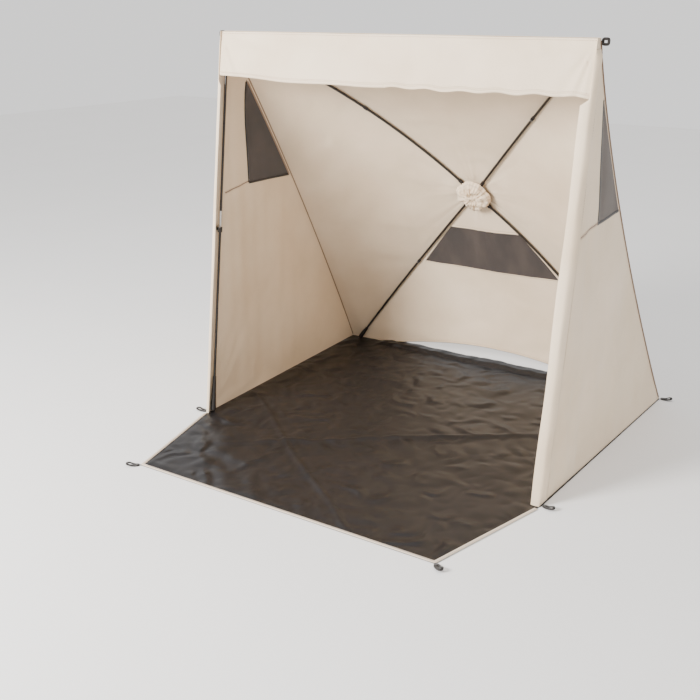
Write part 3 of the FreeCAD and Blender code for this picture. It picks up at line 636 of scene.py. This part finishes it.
def panel_grid(own, other):
    """Points of the half of a back panel that its own rod holds, half way to the other rod."""
    near, far = cloth_edge(*own), cloth_edge(*other)
    middle = (near + far) / 2
    grid = near[:, None] + (middle - near)[:, None] * SHARES[None, :, None]
    out = np.linspace(0, 1, len(near))[:, None]
    slack = np.sin(math.pi / 2 * SHARES)[None, :] * np.sin(math.pi * out) ** 0.5
    if own[1] == other[1]:
        grid[..., 0] -= SIDES[own[1]] * seam_bow(grid[..., 2]) * out ** 3
    free = ease(SHARES / 0.5)[None, :] * ease(out / 0.15) * ease((1 - out) / 0.12)
    ripple = wavy(grid, 0.34, sizes().panel_wrinkle) + wavy(grid, 0.12, sizes().panel_wrinkle / 3)
    corner = near[-1]
    pull = fan(grid, corner, SLOPE, X, 26, 0.0035, 0.22) * ease(SHARES / 0.2)[None, :]
    centre = fan(grid, HUB, SLOPE, X, 22, 0.0022, 0.30) * ease(SHARES / 0.2)[None, :]
    rise = free * ripple - sizes().panel_sag * slack + pull * ease((1 - out) / 0.06) + centre
    return grid + rise[..., None] * OUTWARD


def arch(x):
    """Height of the gap under the back wall."""
    return ARCH_RISE * np.cos(math.pi / 2 * np.clip(abs(x) / ARCH_HALF, 0, 1))


def cut_arch(grid):
    """Draws a bottom panel's lower rows up, so that its hem follows the arch."""
    cut = grid.copy()
    first = NET_ROWS[1]
    for column in range(grid.shape[1]):
        line = grid[first:, column]
        spare = line[:, 2] - arch(line[:, 0]) - 0.002
        below = np.nonzero(spare < 0)[0]
        if not len(below):
            continue
        i = below[0]
        end = i - 1 + spare[i - 1] / (spare[i - 1] - spare[i])
        places = np.linspace(0, end, len(line))
        for axis in range(3):
            cut[first:, column, axis] = np.interp(places, np.arange(len(line)), line[:, axis])
    return cut


def back_map(point):
    return point.x, (np.array(point) - HUB) @ SLOPE


def in_net(row, column):
    return NET_ROWS[0] <= row < NET_ROWS[1] and column >= NET_COLUMN


def fold_panel(piece, level, side, grid):
    """Gives a panel its own copy of its mesh. It works out where the panel's points lie beside its
    rod, but moves none of them."""
    rod = RODS[level, side]
    points = grid.reshape(-1, 3)
    beside = rod.at((points - HUB) @ rod.out)
    anchor = rod.at(0.7)[0]
    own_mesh(piece)


def build_panel(name, node, level, side, grid, flat, kept=None, net=False):
    piece = patches(name, [grid], back_map, kept=kept)
    body = f"{level}_{side}_rod"
    finish_piece(piece, body, net_cloth() if net else canopy_cloth(),
                 [node])
    fold_panel(piece, level, side, grid)
    return piece


class SHELTER_OT_back_wall(bpy.types.Operator):
    """Sews the back wall: four panels of cloth stretched over the bowed rods, with a net window"""

    bl_idname = "shelter.back_wall"
    bl_label = "Back wall"

    def execute(self, context):
        for side in SIDES:
            facing = "left" if side == "right" else "right"
            upper, lower = ("upper", side), ("lower", side)
            top = panel_grid(upper, ("upper", facing))
            build_panel(f"{side}_top_cloth", f"top_panel_{side}", *upper, top, (0.95, 1.10))
            high = panel_grid(upper, lower)
            build_panel(f"{side}_upper_side_cloth", f"{side}_panel_upper", *upper, high, (1.0, 1.35))
            low = panel_grid(lower, upper)
            build_panel(f"{side}_lower_side_cloth", f"{side}_panel_lower", *lower, low, (1.0, 1.35))
            bottom = cut_arch(panel_grid(lower, ("lower", facing)))
            build_panel(f"{side}_bottom_cloth", f"bottom_panel_{side}", *lower, bottom,
                        (1.0, 1.15), kept=lambda r, c: not in_net(r, c))
            build_panel(f"{side}_back_net", f"mesh_{side}", *lower, bottom, (0.45, 0.45),
                        kept=in_net, net=True)
            self.trim(side, bottom)
        return {"FINISHED"}

    def trim(self, side, bottom):
        """Tapes over the edges of the net and along the arched hem."""
        first, last = NET_ROWS
        inside = -OUTWARD * 0.0012
        edges = [bottom[first, NET_COLUMN:], bottom[last, NET_COLUMN:],
                 bottom[first:last + 1, NET_COLUMN]]
        hem = bottom[-1]
        lines = [(line + inside, OUTWARD) for line in edges]
        lines.append((hem + inside + SLOPE * 0.004, OUTWARD))
        piece = tape(f"{side}_back_tape", lines, sizes().seam_tape * 0.8, 0.0012, canopy_cloth())
        finish_piece(piece, f"lower_{side}_rod", canopy_cloth())
        fold_panel(piece, "lower", side, bottom)
        row = [line + inside * 1.6 - SLOPE * offset for line, offset in
               ((bottom[first], -0.012), (bottom[last], 0.012), (hem, -0.020))]
        piece = stitches(f"{side}_back_stitches", row)
        finish_piece(piece, f"lower_{side}_rod", sewing_thread())
        fold_panel(piece, "lower", side, bottom)


# ---- the side walls

WALL_OUT = unit(np.cross(np.array(WALL_BACK) - np.array(WALL_FOOT),
                         np.array(WALL_TOP) - np.array(WALL_FOOT)))
WALL_OUT = WALL_OUT * np.sign(WALL_OUT[0])


def wall_share(z):
    return (z - WALL_FOOT[2]) / (WALL_TOP[2] - WALL_FOOT[2])


def front_edge(z):
    """Depth of the side wall's front edge at this height."""
    return WALL_TOP[1] * wall_share(z) - WALL_LEAD


def back_seam(z):
    """Depth of the seam between the side wall and the back wall at this height."""
    return WALL_BACK[1] + (WALL_TOP[1] - WALL_BACK[1]) * wall_share(z)


SEAM_INSET = WINDOW_SEAM * np.linalg.norm(np.array(WALL_TOP) - np.array(WALL_BACK)) / WALL_TOP[2]
WINDOW_TOP = WALL_FOOT[2] + (WALL_TOP[2] - WALL_FOOT[2]) * (
    (WINDOW_DEPTH + SEAM_INSET - WALL_BACK[1]) / (WALL_TOP[1] - WALL_BACK[1]))


def wall_points(side, y, z, lift=0.0):
    """Points of a side wall at these depths and heights: flat cloth, drawn in at its seam, with
    upright folds behind the leg and creases that fan out of its lower corners."""
    lean = WALL_OUT[1] * (y - WALL_FOOT[1]) + WALL_OUT[2] * (z - WALL_FOOT[2])
    x = WALL_FOOT[0] - lean / WALL_OUT[0]
    front, seam = front_edge(z), back_seam(z)
    share = np.clip((y - front) / np.maximum(seam - front, 1e-6), 0, 1)
    flat = np.stack([x, y, z], -1)
    held = ease((y - front - 0.055) / 0.06) * ease(np.clip((seam - y) / 0.08, 0, 1))
    held = held * ease(z / 0.06) * ease((HEIGHT - z) / 0.15)
    seed = 4.0 if side == "left" else 9.0
    folds = wavy(flat, (1.0, 0.085, 0.95), sizes().wall_fold, seed) * np.exp(-share * 2.2)
    soft = wavy(flat, (1.0, 0.30, 0.42), sizes().wall_fold * 0.9, seed + 2)
    low = fan(flat, WALL_FOOT, (0, 1, 0), (0, 0, 1), 17, 0.007, 0.30)
    back = fan(flat, WALL_BACK, (0, -1, 0), (0, 0, 1), 24, 0.006, 0.24)
    rise = held * (folds + soft + low + back)
    x = x - seam_bow(z) * share ** 1.6 + rise
    point = np.stack([x, y, z], -1) + WALL_OUT * lift
    point[..., 0] *= SIDES[side]
    return point


def wall_patch(side, low, high, rows, first, last, columns):
    """A grid of the wall between two heights and two edges, each a function of height."""
    z = np.linspace(low, high, rows)[:, None] + np.zeros((1, columns))
    share = np.linspace(0, 1, columns)[None, :]
    y = first(z) + (last(z) - first(z)) * share
    return wall_points(side, y, z)


def steady(y, z):
    """An edge that keeps its share of the wall's depth, through this point."""
    share = (y - front_edge(z)) / (back_seam(z) - front_edge(z))
    return lambda height: front_edge(height) + (back_seam(height) - front_edge(height)) * share


def window_edge(z):
    return back_seam(z) - SEAM_INSET


def upright(z):
    return WINDOW_DEPTH + 0 * z


def wall_grids(side):
    """The wall in patches that share their edges, and the patch of its window."""
    before, beside = steady(WINDOW_DEPTH, WINDOW_LOW), steady(window_edge(WINDOW_LOW), WINDOW_LOW)
    above = steady(WINDOW_DEPTH, WINDOW_TOP)
    foot, top = WALL_FOOT[2], WALL_TOP[2]
    cloth = [
        wall_patch(side, foot, WINDOW_LOW, 60, front_edge, before, 26),
        wall_patch(side, foot, WINDOW_LOW, 60, before, beside, 30),
        wall_patch(side, foot, WINDOW_LOW, 60, beside, back_seam, 3),
        wall_patch(side, WINDOW_LOW, WINDOW_TOP, 32, front_edge, upright, 26),
        wall_patch(side, WINDOW_LOW, WINDOW_TOP, 32, window_edge, back_seam, 3),
        wall_patch(side, WINDOW_TOP, top, 16, front_edge, above, 26),
        wall_patch(side, WINDOW_TOP, top, 16, above, back_seam, 3),
    ]
    return cloth, wall_patch(side, WINDOW_LOW, WINDOW_TOP, 32, upright, window_edge, 30)


def wall_map(point):
    return point.y, point.z


def fold_wall(piece):
    """Gives a side wall piece its own copy of its mesh."""
    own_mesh(piece)


def trim_wall(piece, side, material, replaced=()):
    finish_piece(piece, f"{side}_leg", material, replaced)
    fold_wall(piece)
    return piece


class SHELTER_OT_side_walls(bpy.types.Operator):
    """Sews the two side walls, each with a three-cornered net window, a leg sleeve and taped seams"""

    bl_idname = "shelter.side_walls"
    bl_label = "Side walls"

    def execute(self, context):
        for side in SIDES:
            cloth, window = wall_grids(side)
            piece = patches(f"{side}_wall_cloth", cloth, wall_map)
            trim_wall(piece, side, canopy_cloth(), [f"{side}_wall"])
            piece = patches(f"{side}_window_net", [window], wall_map)
            trim_wall(piece, side, net_cloth(), [f"{side}_window"])
            self.sleeve(side)
            self.tapes(side)
        return {"FINISHED"}

    def sleeve(self, side):
        """The sleeve that hides the leg: full over the leg outside, and turned in before it."""
        flap, columns = 7, 15
        z = np.linspace(WALL_FOOT[2] + 0.001, SLEEVE_TOP, 90)[:, None] + np.zeros((1, columns))
        share = np.linspace(0, 1, columns)[None, :]
        y = front_edge(z) + 0.0005 + SLEEVE_WIDTH * share
        flush = 0.0021
        full = flush + 0.0150 * np.sin(math.pi * np.clip(share / 0.72, 0, 1)) ** 0.9
        slack = 1 + 0.35 * wavy(np.stack([0 * z, y, z], -1), (1, 0.3, 0.16), 1.0, 20.0)
        ends = ease(z / 0.03) * ease((1.864 - z) / 0.02)
        lift = flush + (full - flush) * slack * ends
        outer = wall_points(side, y, z) + on_side(WALL_OUT, side) * lift[..., None]
        turned = np.linspace(1, 0, flap)[None, :, None]
        under = ease((SLEEVE_OPEN - z[:, :1, None]) / 0.02)
        inward = turned * (0.001 + TURNED_IN[side] * under * (1 + 0.06 * np.sin(9 * z[:, :1, None])))
        inner = outer[:, :1] - inward * np.array((SIDES[side], 0, 0))
        inner = inner + np.sin(math.pi * turned) * under * np.array((0, -0.003, 0))
        grid = np.concatenate([inner[:, :-1], outer], axis=1)
        piece = patches(f"{side}_sleeve_cloth", [grid], wall_map)
        trim_wall(piece, side, canopy_cloth(), [f"{side}_leg_sleeve"])
        rows = []
        for inset in (0.008, SLEEVE_WIDTH - 0.006):
            heights = np.linspace(0.02, 1.85, 80)
            depths = front_edge(heights) + inset
            rows.append(wall_points(side, depths, heights, 0.0042 if inset < 0.02 else 0.0036))
        piece = stitches(f"{side}_sleeve_stitches", rows)
        trim_wall(piece, side, sewing_thread())

    def tapes(self, side):
        """Black tape on the window's straight edges, brown tape over the back seam."""
        out = on_side(WALL_OUT, side)
        size = sizes()
        heights = np.linspace(WINDOW_LOW, WINDOW_TOP - 0.01, 30)
        low = np.linspace(WINDOW_DEPTH, window_edge(WINDOW_LOW), 24)
        edges = [wall_points(side, upright(heights), heights),
                 wall_points(side, low, np.full(24, WINDOW_LOW))]
        lines = [(edge + out * lift, out) for edge in edges for lift in (0.0011, -0.0011)]
        piece = tape(f"{side}_window_tape", lines, size.window_tape, 0.0009, black_webbing())
        trim_wall(piece, side, black_webbing())
        tall = np.linspace(0.012, HEIGHT - 0.012, 110)
        seam = wall_points(side, back_seam(tall) - 0.002, tall)
        slant = wall_points(side, window_edge(heights), heights)
        tilt = unit(out * 0.8 + OUTWARD)
        lines = [(seam - tilt * 0.0016, tilt), (seam + tilt * 0.0030, tilt),
                 (slant - out * 0.0012, out)]
        piece = tape(f"{side}_seam_tape", lines, size.seam_tape, 0.0012, seam_tape_cloth())
        trim_wall(piece, side, seam_tape_cloth())
        run = np.linspace(0, 1, 40)
        start = (float(front_edge(1.12)) + SLEEVE_WIDTH, 1.12)
        y = start[0] + (WINDOW_DEPTH - start[0]) * run
        z = start[1] + (WINDOW_LOW - start[1]) * run
        rows = [wall_points(side, y, z + step, lift)
                for step in (0.0, 0.014) for lift in (0.0010, -0.0010)]
        piece = stitches(f"{side}_wall_stitches", rows)
        trim_wall(piece, side, sewing_thread())
        # Painted shade: a darker strip between the two real stitch rows stands for the shadow in the
        # fold of the seam.
        lines = [(wall_points(side, y, z + 0.007, lift), out) for lift in (0.0008, -0.0008)]
        piece = tape(f"{side}_wall_seam_painted_shade_tape", lines, size.seam_tape * 0.6, 0.0009, seam_tape_cloth())
        trim_wall(piece, side, seam_tape_cloth())


# ---- the valance

def valance_points(side, x, run):
    """Points of the valance at these distances from its middle. run goes from its top edge, over
    the front of the frame, and down to its hem."""
    way = SIDES[side]
    strip, hang = 0.024, VALANCE_DROP
    over = np.clip(run / strip, 0, 1)
    down = np.clip(run - strip, 0, None)
    lean = 0.029 * np.clip(down / hang, 0, 1)
    flat = np.stack([way * x, 0 * x, run + 0 * x], -1)
    swing = wavy(flat, (0.30, 1, 0.22), sizes().valance_dent) + wavy(flat, (0.09, 1, 0.5), 0.0025)
    gathered = fan(np.stack([way * x, 0 * x, run], -1), (way * VALANCE_HALF, 0, 0.03),
                   (-way, 0, 0), (0, 0, 1), 13, 0.006, 0.25)
    loose = ease(down / 0.10)
    ends = ease((VALANCE_HALF - x) / 0.03)
    y = 0.246 - 0.023 * over - lean - loose * (swing * ends + gathered * ends + 0.004)
    short = 0.020 * ease((abs(x) - 0.45) / 0.5) if side == "left" else 0.004 * np.sin(x * 38)
    hem = wavy(flat * np.array((1, 1, 0)), (0.22, 1, 1), 0.004) + short
    z = HEIGHT - 0.0012 - down * (1 - hem * down / hang ** 2)
    z = z + wavy(flat * np.array((1, 1, 0)), (0.35, 1, 1), 0.0012) * (1 - loose) - 0.001
    return np.stack([way * x, y, z], -1)


def valance_map(point):
    return point.x, point.z


class SHELTER_OT_valance(bpy.types.Operator):
    """Hangs the valance across the front in two halves, with a stitched hem"""

    bl_idname = "shelter.valance"
    bl_label = "Valance"

    def execute(self, context):
        for side in SIDES:
            run = np.concatenate([np.linspace(0, 0.03, 7), np.linspace(0.04, 0.244, 28)])[:, None]
            x = np.linspace(0, VALANCE_HALF, 120)[None, :]
            grid = valance_points(side, x + 0 * run, run + 0 * x)
            piece = patches(f"{side}_valance_cloth", [grid], valance_map, thickness=0.0014)
            self.hang(piece, side, "canopy", canopy_cloth(), [f"valance_{side}"])
            across = np.linspace(0.004, VALANCE_HALF - 0.006, 150)
            rows = []
            for down in (0.032, 0.226):
                line = valance_points(side, across, np.full(150, down))
                rows.append(line - np.array((0, 0.0012, 0)))
            piece = stitches(f"{side}_valance_stitches", rows)
            self.hang(piece, side, "canopy", sewing_thread())
            hem = valance_points(side, across, np.full(150, 0.2375))
            paths = [(hem - Y * 0.0010, -Y)]
            piece = tape(f"{side}_valance_hem", paths, 0.014, 0.0010, canopy_cloth())
            self.hang(piece, side, "canopy", canopy_cloth())
        return {"FINISHED"}

    def hang(self, piece, side, slot, material, replaced=()):
        finish_piece(piece, f"upper_{side}_rod", material, replaced)
        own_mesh(piece)


# ---- the hub's cover

class SHELTER_OT_hub_cover(bpy.types.Operator):
    """Gathers the cloth cover over the inner side of the hub"""

    bl_idname = "shelter.hub_cover"
    bl_label = "Hub cover"

    radius = 0.098
    depth = 0.043
    start = 0.011               # from the hub's middle to the cover's rim, into the shelter

    def execute(self, context):
        turns, rings = 180, 34
        angle = np.linspace(0, 2 * math.pi, turns + 1)[None, :]
        out = np.linspace(0.0, 1.0, rings)[:, None] + 0 * angle
        angle = angle + 0 * out
        rim = 0.97 + 0.05 * np.cos(4 * angle + 0.6) + 0.02 * np.cos(7 * angle)
        folds = np.sin(17 * angle + 2.6 * np.sin(3 * angle) + 3 * out) * 0.55
        folds += np.sin(29 * angle - 1.9 * np.sin(2 * angle)) * 0.3
        circle = np.stack([np.cos(angle) * out, np.sin(angle) * out, 0 * out], -1)
        crumple = wavy(circle, 0.34, 1.0, 31.0)
        height = np.cos(math.pi / 2 * np.clip(out, 0, 1) ** 2.4) ** 0.8
        crumple = 1.5 * crumple + 0.8 * wavy(circle, 0.15, 1.0, 37.0)
        pleats = 0.6 * folds * ease(out / 0.5) * (0.3 + 0.7 * height)
        gather = sizes().gather_height * (pleats + crumple)
        rise = 0.001 + self.depth * 0.80 * height + gather * height ** 0.5
        rise = np.clip(rise, 0.0008, self.depth)
        spread = self.radius * np.minimum(out * rim * (1 + 0.035 * folds * ease(out / 0.7)), 1.0)
        ways = np.cos(angle)[..., None] * X + np.sin(angle)[..., None] * SLOPE
        grid = HUB + spread[..., None] * ways - (self.start + rise)[..., None] * OUTWARD
        grid[:, -1] = grid[:, 0]
        piece = patches("hub_cover_cloth", [grid], back_map, thickness=0.0012)
        finish_piece(piece, "hub", canopy_cloth(), ["hub_cap"])
        self.surround()
        line = grid[int(rings * 0.88), :-1] - OUTWARD * 0.0012
        piece = tape("hub_cover_drawstring", [(line, OUTWARD)], 0.005, 0.0022, porch_tape_cloth(),
                     closed=True)
        finish_piece(piece, "hub", porch_tape_cloth())
        return {"FINISHED"}

    def surround(self):
        """The patch outside that closes the middle of the back wall round the hub."""
        turns = np.linspace(0, 2 * math.pi, 97)[None, :]
        out = np.linspace(0.0645, 0.132, 9)[:, None] + 0 * turns
        turns = turns + 0 * out
        ways = np.cos(turns)[..., None] * X + np.sin(turns)[..., None] * SLOPE
        rise = 0.0135 + 0.0030 * ease((out - 0.07) / 0.03) + 0.0006 * np.sin(9 * turns + 30 * out)
        grid = HUB + ways * out[..., None] + rise[..., None] * OUTWARD
        grid[:, -1] = grid[:, 0]
        piece = patches("hub_surround_cloth", [grid], back_map)
        finish_piece(piece, "hub", canopy_cloth())
        row = HUB + ways[0] * 0.124 + OUTWARD * 0.0178
        piece = stitches("hub_surround_stitches", [row])
        finish_piece(piece, "hub", sewing_thread())


# ---- the ground sheet

def sheet_half_width(y):
    """Half the width of the ground sheet at this depth."""
    return np.interp(y, (-PORCH_DEPTH, LEG_LINE, FLOOR_DEPTH), (PORCH_HALF, FRONT_HALF, BACK_HALF))


def ground_points(x, y):
    """The ground sheet's top at these places: wrinkled from packing, with one long crease, and a
    hem that stands up along the back."""
    flat = np.stack([x, y, 0 * x], -1)
    height = sizes().floor_wrinkle
    waves_low = 0.55 * np.abs(wavy(flat, 0.26, 1.0, 3.0)) + 0.45 * np.abs(wavy(flat, 0.10, 1.0, 5.0))
    along = unit(np.array((0.80, 0.60)))
    middle_x, middle_y = 0.10, 0.25
    off = (x - middle_x) * -along[1] + (y - middle_y) * along[0]
    reach = np.exp(-((x - middle_x) * along[0] + (y - middle_y) * along[1]) ** 2 / 0.5)
    crease = np.exp(-((off + wavy(flat, 0.3, 0.02, 8.0)) / 0.018) ** 2) * 1.1 * reach
    second = np.exp(-((x * 0.6 + y * 0.8 + 0.30 + wavy(flat, 0.4, 0.04, 12.0)) / 0.014) ** 2) * 0.7
    edge = ease((sheet_half_width(y) - abs(x)) / 0.05) * ease((y + PORCH_DEPTH) / 0.05)
    pressed = np.ones_like(x)
    for foot in (LEG_FOOT, ROD_END["lower"][:2]):
        gap = np.hypot(abs(x) - foot[0], y - foot[1])
        pressed = pressed * ease((gap - 0.03) / 0.08)
    rise = 0.0011 + height * edge * pressed * (waves_low * 1.5 + crease + second)
    lip = 0.020 * ease((y - 1.395) / 0.02) * ease((0.80 - abs(x)) / 0.12)
    lip = lip * (1 + 0.25 * wavy(flat, 0.2, 1.0, 15.0))
    return np.stack([x, y, rise + lip], -1)


def floor_map(point):
    return point.x, point.y


class SHELTER_OT_ground_sheet(bpy.types.Operator):
    """Lays the wrinkled ground sheet, binds its porch and sews on the stake loops"""

    bl_idname = "shelter.ground_sheet"
    bl_label = "Ground sheet"

    def execute(self, context):
        y = np.concatenate([np.linspace(-PORCH_DEPTH, LEG_LINE, 72),
                            np.linspace(LEG_LINE, FLOOR_DEPTH, 158)[1:]])[:, None]
        share = np.linspace(-1, 1, 190)[None, :]
        grid = ground_points(share * sheet_half_width(y), y + 0 * share)
        piece = patches("ground_sheet_cloth", [grid], floor_map)
        self.lay(piece, "floor_sheet", ground_cloth(), ["ground_sheet"])
        self.binding()
        self.loops()
        return {"FINISHED"}

    def lay(self, piece, slot, material, replaced=()):
        finish_piece(piece, "floor", material, replaced)
        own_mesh(piece)

    def binding(self):
        """The tape folded over the porch's edge."""
        inset = sizes().porch_tape / 2
        side = np.array([(FRONT_HALF, -0.045), (PORCH_HALF, -PORCH_DEPTH)])
        line = [(-x, y) for x, y in side] + [(x, y) for x, y in side[::-1]]
        runs = [between((*a, 0.0034), (*b, 0.0034), 60)[:-1] for a, b in zip(line, line[1:])]
        path = np.vstack(runs)
        path[:, 0] -= np.sign(path[:, 0]) * inset * np.minimum(1, abs(path[:, 0]) / 0.7)
        path[:, 1] = np.maximum(path[:, 1], -PORCH_DEPTH + inset)
        path[:, 2] += wavy(path, 0.2, 0.0006)
        piece = tape("porch_edge_tape", [(path, Z)], 2 * inset, 0.0016, porch_tape_cloth())
        self.lay(piece, "binding", porch_tape_cloth(), ["porch_binding"])
        piece = stitches("porch_stitches", [path + Z * 0.0009])
        self.lay(piece, "binding", sewing_thread())

    def loops(self):
        """Six loops of webbing, each a flat ring that lies on the ground and curls up a little."""
        places = (((BACK_HALF, FLOOR_DEPTH), (1.0, 0.0)), ((FRONT_HALF, LEG_LINE), (0.9, -0.3)),
                  ((PORCH_HALF, -PORCH_DEPTH), (0.75, -0.65)))
        paths = []
        for corner, way in places:
            way = unit(np.array((*way, 0.0)))
            across = np.cross(Z, way)
            for side in SIDES.values():
                turn = np.linspace(0, 2 * math.pi, 33)[:-1]
                long = 0.035 + 0.026 * np.sign(np.cos(turn)) * abs(np.cos(turn)) ** 0.7
                wide = 0.008 * np.sign(np.sin(turn)) * abs(np.sin(turn)) ** 0.7
                line = np.array((*corner, 0.003)) + long[:, None] * way + wide[:, None] * across
                line[:, 2] += 0.010 * ease((long - 0.02) / 0.04) * (1 + 0.4 * np.sin(turn))
                line[:, 0] *= side
                paths.append((line, Z))
        piece = tape("stake_loop_webbing", paths, sizes().webbing, 0.0040, black_webbing(),
                     closed=True)
        self.lay(piece, "webbing", black_webbing(), ["stake_loops"])


# ---- webbing on the frame

class SHELTER_OT_webbing(bpy.types.Operator):
    """Makes the pull strap on the hub, the ties on the rods and the guy tabs at the top corners"""

    bl_idname = "shelter.webbing"
    bl_label = "Webbing"

    def execute(self, context):
        self.pull_strap()
        for level, side in RODS:
            self.tie(level, side)
        for side in SIDES:
            self.guy_tab(side)
        return {"FINISHED"}

    def pull_strap(self):
        low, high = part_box("pull_strap")
        middle = np.array((low + high) / 2)
        turn = np.linspace(0, 2 * math.pi, 49)[:-1]
        ways = np.cos(turn)[:, None] * OUTWARD + np.sin(turn)[:, None] * SLOPE
        line = middle + ways * 0.0205
        piece = tape("pull_strap_webbing", [(line, ways)], 0.020, 0.0028, black_webbing(), closed=True)
        finish_piece(piece, "hub", black_webbing(), ["pull_strap"])

    def tie(self, level, side):
        """A wrap of webbing round the rod, one turn and a half with its end lying on top."""
        rod = RODS[level, side]
        low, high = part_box(f"{level}_{side}_tie")
        middle = np.array((low + high) / 2)
        reach = (middle - HUB) @ rod.out
        ahead = unit(rod.at(reach + 0.01)[0] - rod.at(reach - 0.01)[0])
        centre = rod.at(reach)[0]
        first = unit(OUTWARD - ahead * (OUTWARD @ ahead))
        second = np.cross(ahead, first)
        turn = np.linspace(0, 3 * math.pi, 60)
        ways = np.cos(turn)[:, None] * first + np.sin(turn)[:, None] * second
        radius = ROD_RADIUS + 0.0009 + 0.0007 * turn / math.pi / 1.5
        line = centre + ways * radius[:, None]
        piece = tape(f"{level}_{side}_tie_webbing", [(line, ways)], 0.022, 0.0010, black_webbing())
        finish_piece(piece, f"{level}_{side}_rod", black_webbing(),
                     [f"{level}_{side}_tie"])

    def guy_tab(self, side):
        low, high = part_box(f"{side}_guy_tab")
        middle = np.array((low + high) / 2)
        span = np.array((high - low)) / 2 - 0.0035
        turn = np.linspace(0, 2 * math.pi, 41)[:-1]
        line = middle + np.stack([span[0] * np.sign(np.cos(turn)) * abs(np.cos(turn)) ** 0.5,
                                  0.0006 * np.sin(3 * turn),
                                  span[2] * np.sign(np.sin(turn)) * abs(np.sin(turn)) ** 0.5], -1)
        piece = tape(f"{side}_guy_webbing", [(line, np.array((0, 1.0, 0)))], 0.011, 0.0026,
                     black_webbing(), closed=True)
        finish_piece(piece, f"upper_{side}_rod", black_webbing(), [f"{side}_guy_tab"])


# ---- the frame's own parts

class SHELTER_OT_hardware(bpy.types.Operator):
    """Gives the rods, poles, mouldings and fasteners their finishes"""

    bl_idname = "shelter.hardware"
    bl_label = "Hardware"

    def execute(self, context):
        finishes = {"rod": fibreglass, "moulding": moulded_nylon, "ferrule": drawn_aluminium,
                    "steel": zinc_steel}
        kinds = (("ferrule", "ferrule"), ("rivets", "steel"), ("pins", "steel"), ("screws", "steel"),
                 ("_rod", "rod"), ("pole", "rod"))
        for name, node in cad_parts.items():
            kind = next((kind for part, kind in kinds if name.endswith(part)), "moulding")
            node.data.materials.clear()
            node.data.materials.append(finishes[kind]())
        return {"FINISHED"}


# ---- the stage

def area_light(name, place, target, size, power, tint):
    light = bpy.data.lights.new(name, "AREA")
    light.shape = "DISK"
    light.size = size
    light.energy = power
    light.color = tint
    lamp = link(name, light)
    lamp.location = place
    lamp.rotation_euler = (Vector(target) - Vector(place)).to_track_quat("-Z", "Y").to_euler()


class SHELTER_OT_stage(bpy.types.Operator):
    """Lays a pale studio floor and sets the lights and the camera"""

    bl_idname = "shelter.stage"
    bl_label = "Stage"

    place = (2.304, -3.592, 2.028)
    lens = 50.45                # in millimetres, before a sensor 36 wide
    azimuth = 33.28             # degrees round from straight in front, and up
    elevation = 19.44

    def execute(self, context):
        scene = bpy.context.scene
        camera = link("camera", bpy.data.cameras.new("camera"))
        camera.data.sensor_width = 36
        camera.data.lens = self.lens
        azimuth, elevation = math.radians(self.azimuth), math.radians(self.elevation)
        camera.location = self.place
        back = Vector((math.sin(azimuth) * math.cos(elevation),
                       -math.cos(azimuth) * math.cos(elevation), math.sin(elevation)))
        camera.rotation_euler = (-back).to_track_quat("-Z", "Y").to_euler()
        scene.camera = camera
        self.floor()
        world = bpy.data.worlds.new("studio")
        world.use_nodes = True
        sky = world.node_tree.nodes["Background"].inputs
        sky["Color"].default_value = opaque(linear("F6F5F4"))
        sky["Strength"].default_value = 1.3
        scene.world = world
        area_light("key", (-2.6, -5.2, 3.2), (0, 0.6, 0.9), 2.4, 900, linear("FFFDFA"))
        return {"FINISHED"}

    def floor(self):
        """A wide pale floor just under the shelter."""
        half, low = 14.0, CAD_BOX[0].z - 0.0005
        mesh = bpy.data.meshes.new("studio_floor")
        mesh.from_pydata([(-half, -half, low), (half, -half, low), (half, half, low),
                          (-half, half, low)], [], [(0, 1, 2, 3)])
        piece = link("studio_floor", mesh)
        material, tree = new_finish("matt_painted_studio_floor")
        place = add(tree, "ShaderNodeTexCoord").outputs["Object"]
        mottle = add(tree, "ShaderNodeTexNoise", {"Scale": 1.5}, {"Vector": place})
        tone = add(tree, "ShaderNodeMix", {"data_type": "RGBA", 6: opaque(linear("F3F2F1")),
                                           7: opaque(linear("F7F6F5"))},
                   {0: mottle.outputs["Fac"]})
        surface(tree, {"Roughness": 0.8}, {"Base Color": tone.outputs[2]})
        mesh.materials.append(material)


OPERATORS = (SHELTER_OT_stage, SHELTER_OT_hardware, SHELTER_OT_back_wall, SHELTER_OT_side_walls,
             SHELTER_OT_valance, SHELTER_OT_hub_cover, SHELTER_OT_ground_sheet, SHELTER_OT_webbing)


class SHELTER_PT_build(bpy.types.Panel):
    """Lists the shelter's pieces, its sizes and its colours"""

    bl_idname = "SHELTER_PT_build"
    bl_label = "Sun shelter"
    bl_space_type = "VIEW_3D"
    bl_region_type = "UI"
    bl_category = "Shelter"

    def draw(self, context):
        for kind in OPERATORS:
            self.layout.operator(kind.bl_idname)
        for group in (context.scene.shelter_sizes, context.scene.shelter_colours):
            for name in group.__annotations__:
                self.layout.prop(group, name)


CLASSES = (ShelterSizes, ShelterColours, *OPERATORS, SHELTER_PT_build)


def register():
    for kind in CLASSES:
        bpy.utils.register_class(kind)
    bpy.types.Scene.shelter_sizes = bpy.props.PointerProperty(type=ShelterSizes)
    bpy.types.Scene.shelter_colours = bpy.props.PointerProperty(type=ShelterColours)


def unregister():
    del bpy.types.Scene.shelter_colours
    del bpy.types.Scene.shelter_sizes
    for kind in reversed(CLASSES):
        bpy.utils.unregister_class(kind)


def main():
    register()
    for kind in OPERATORS:
        group, name = kind.bl_idname.split(".")
        getattr(getattr(bpy.ops, group), name)()


if __name__ == "__main__":
    main()
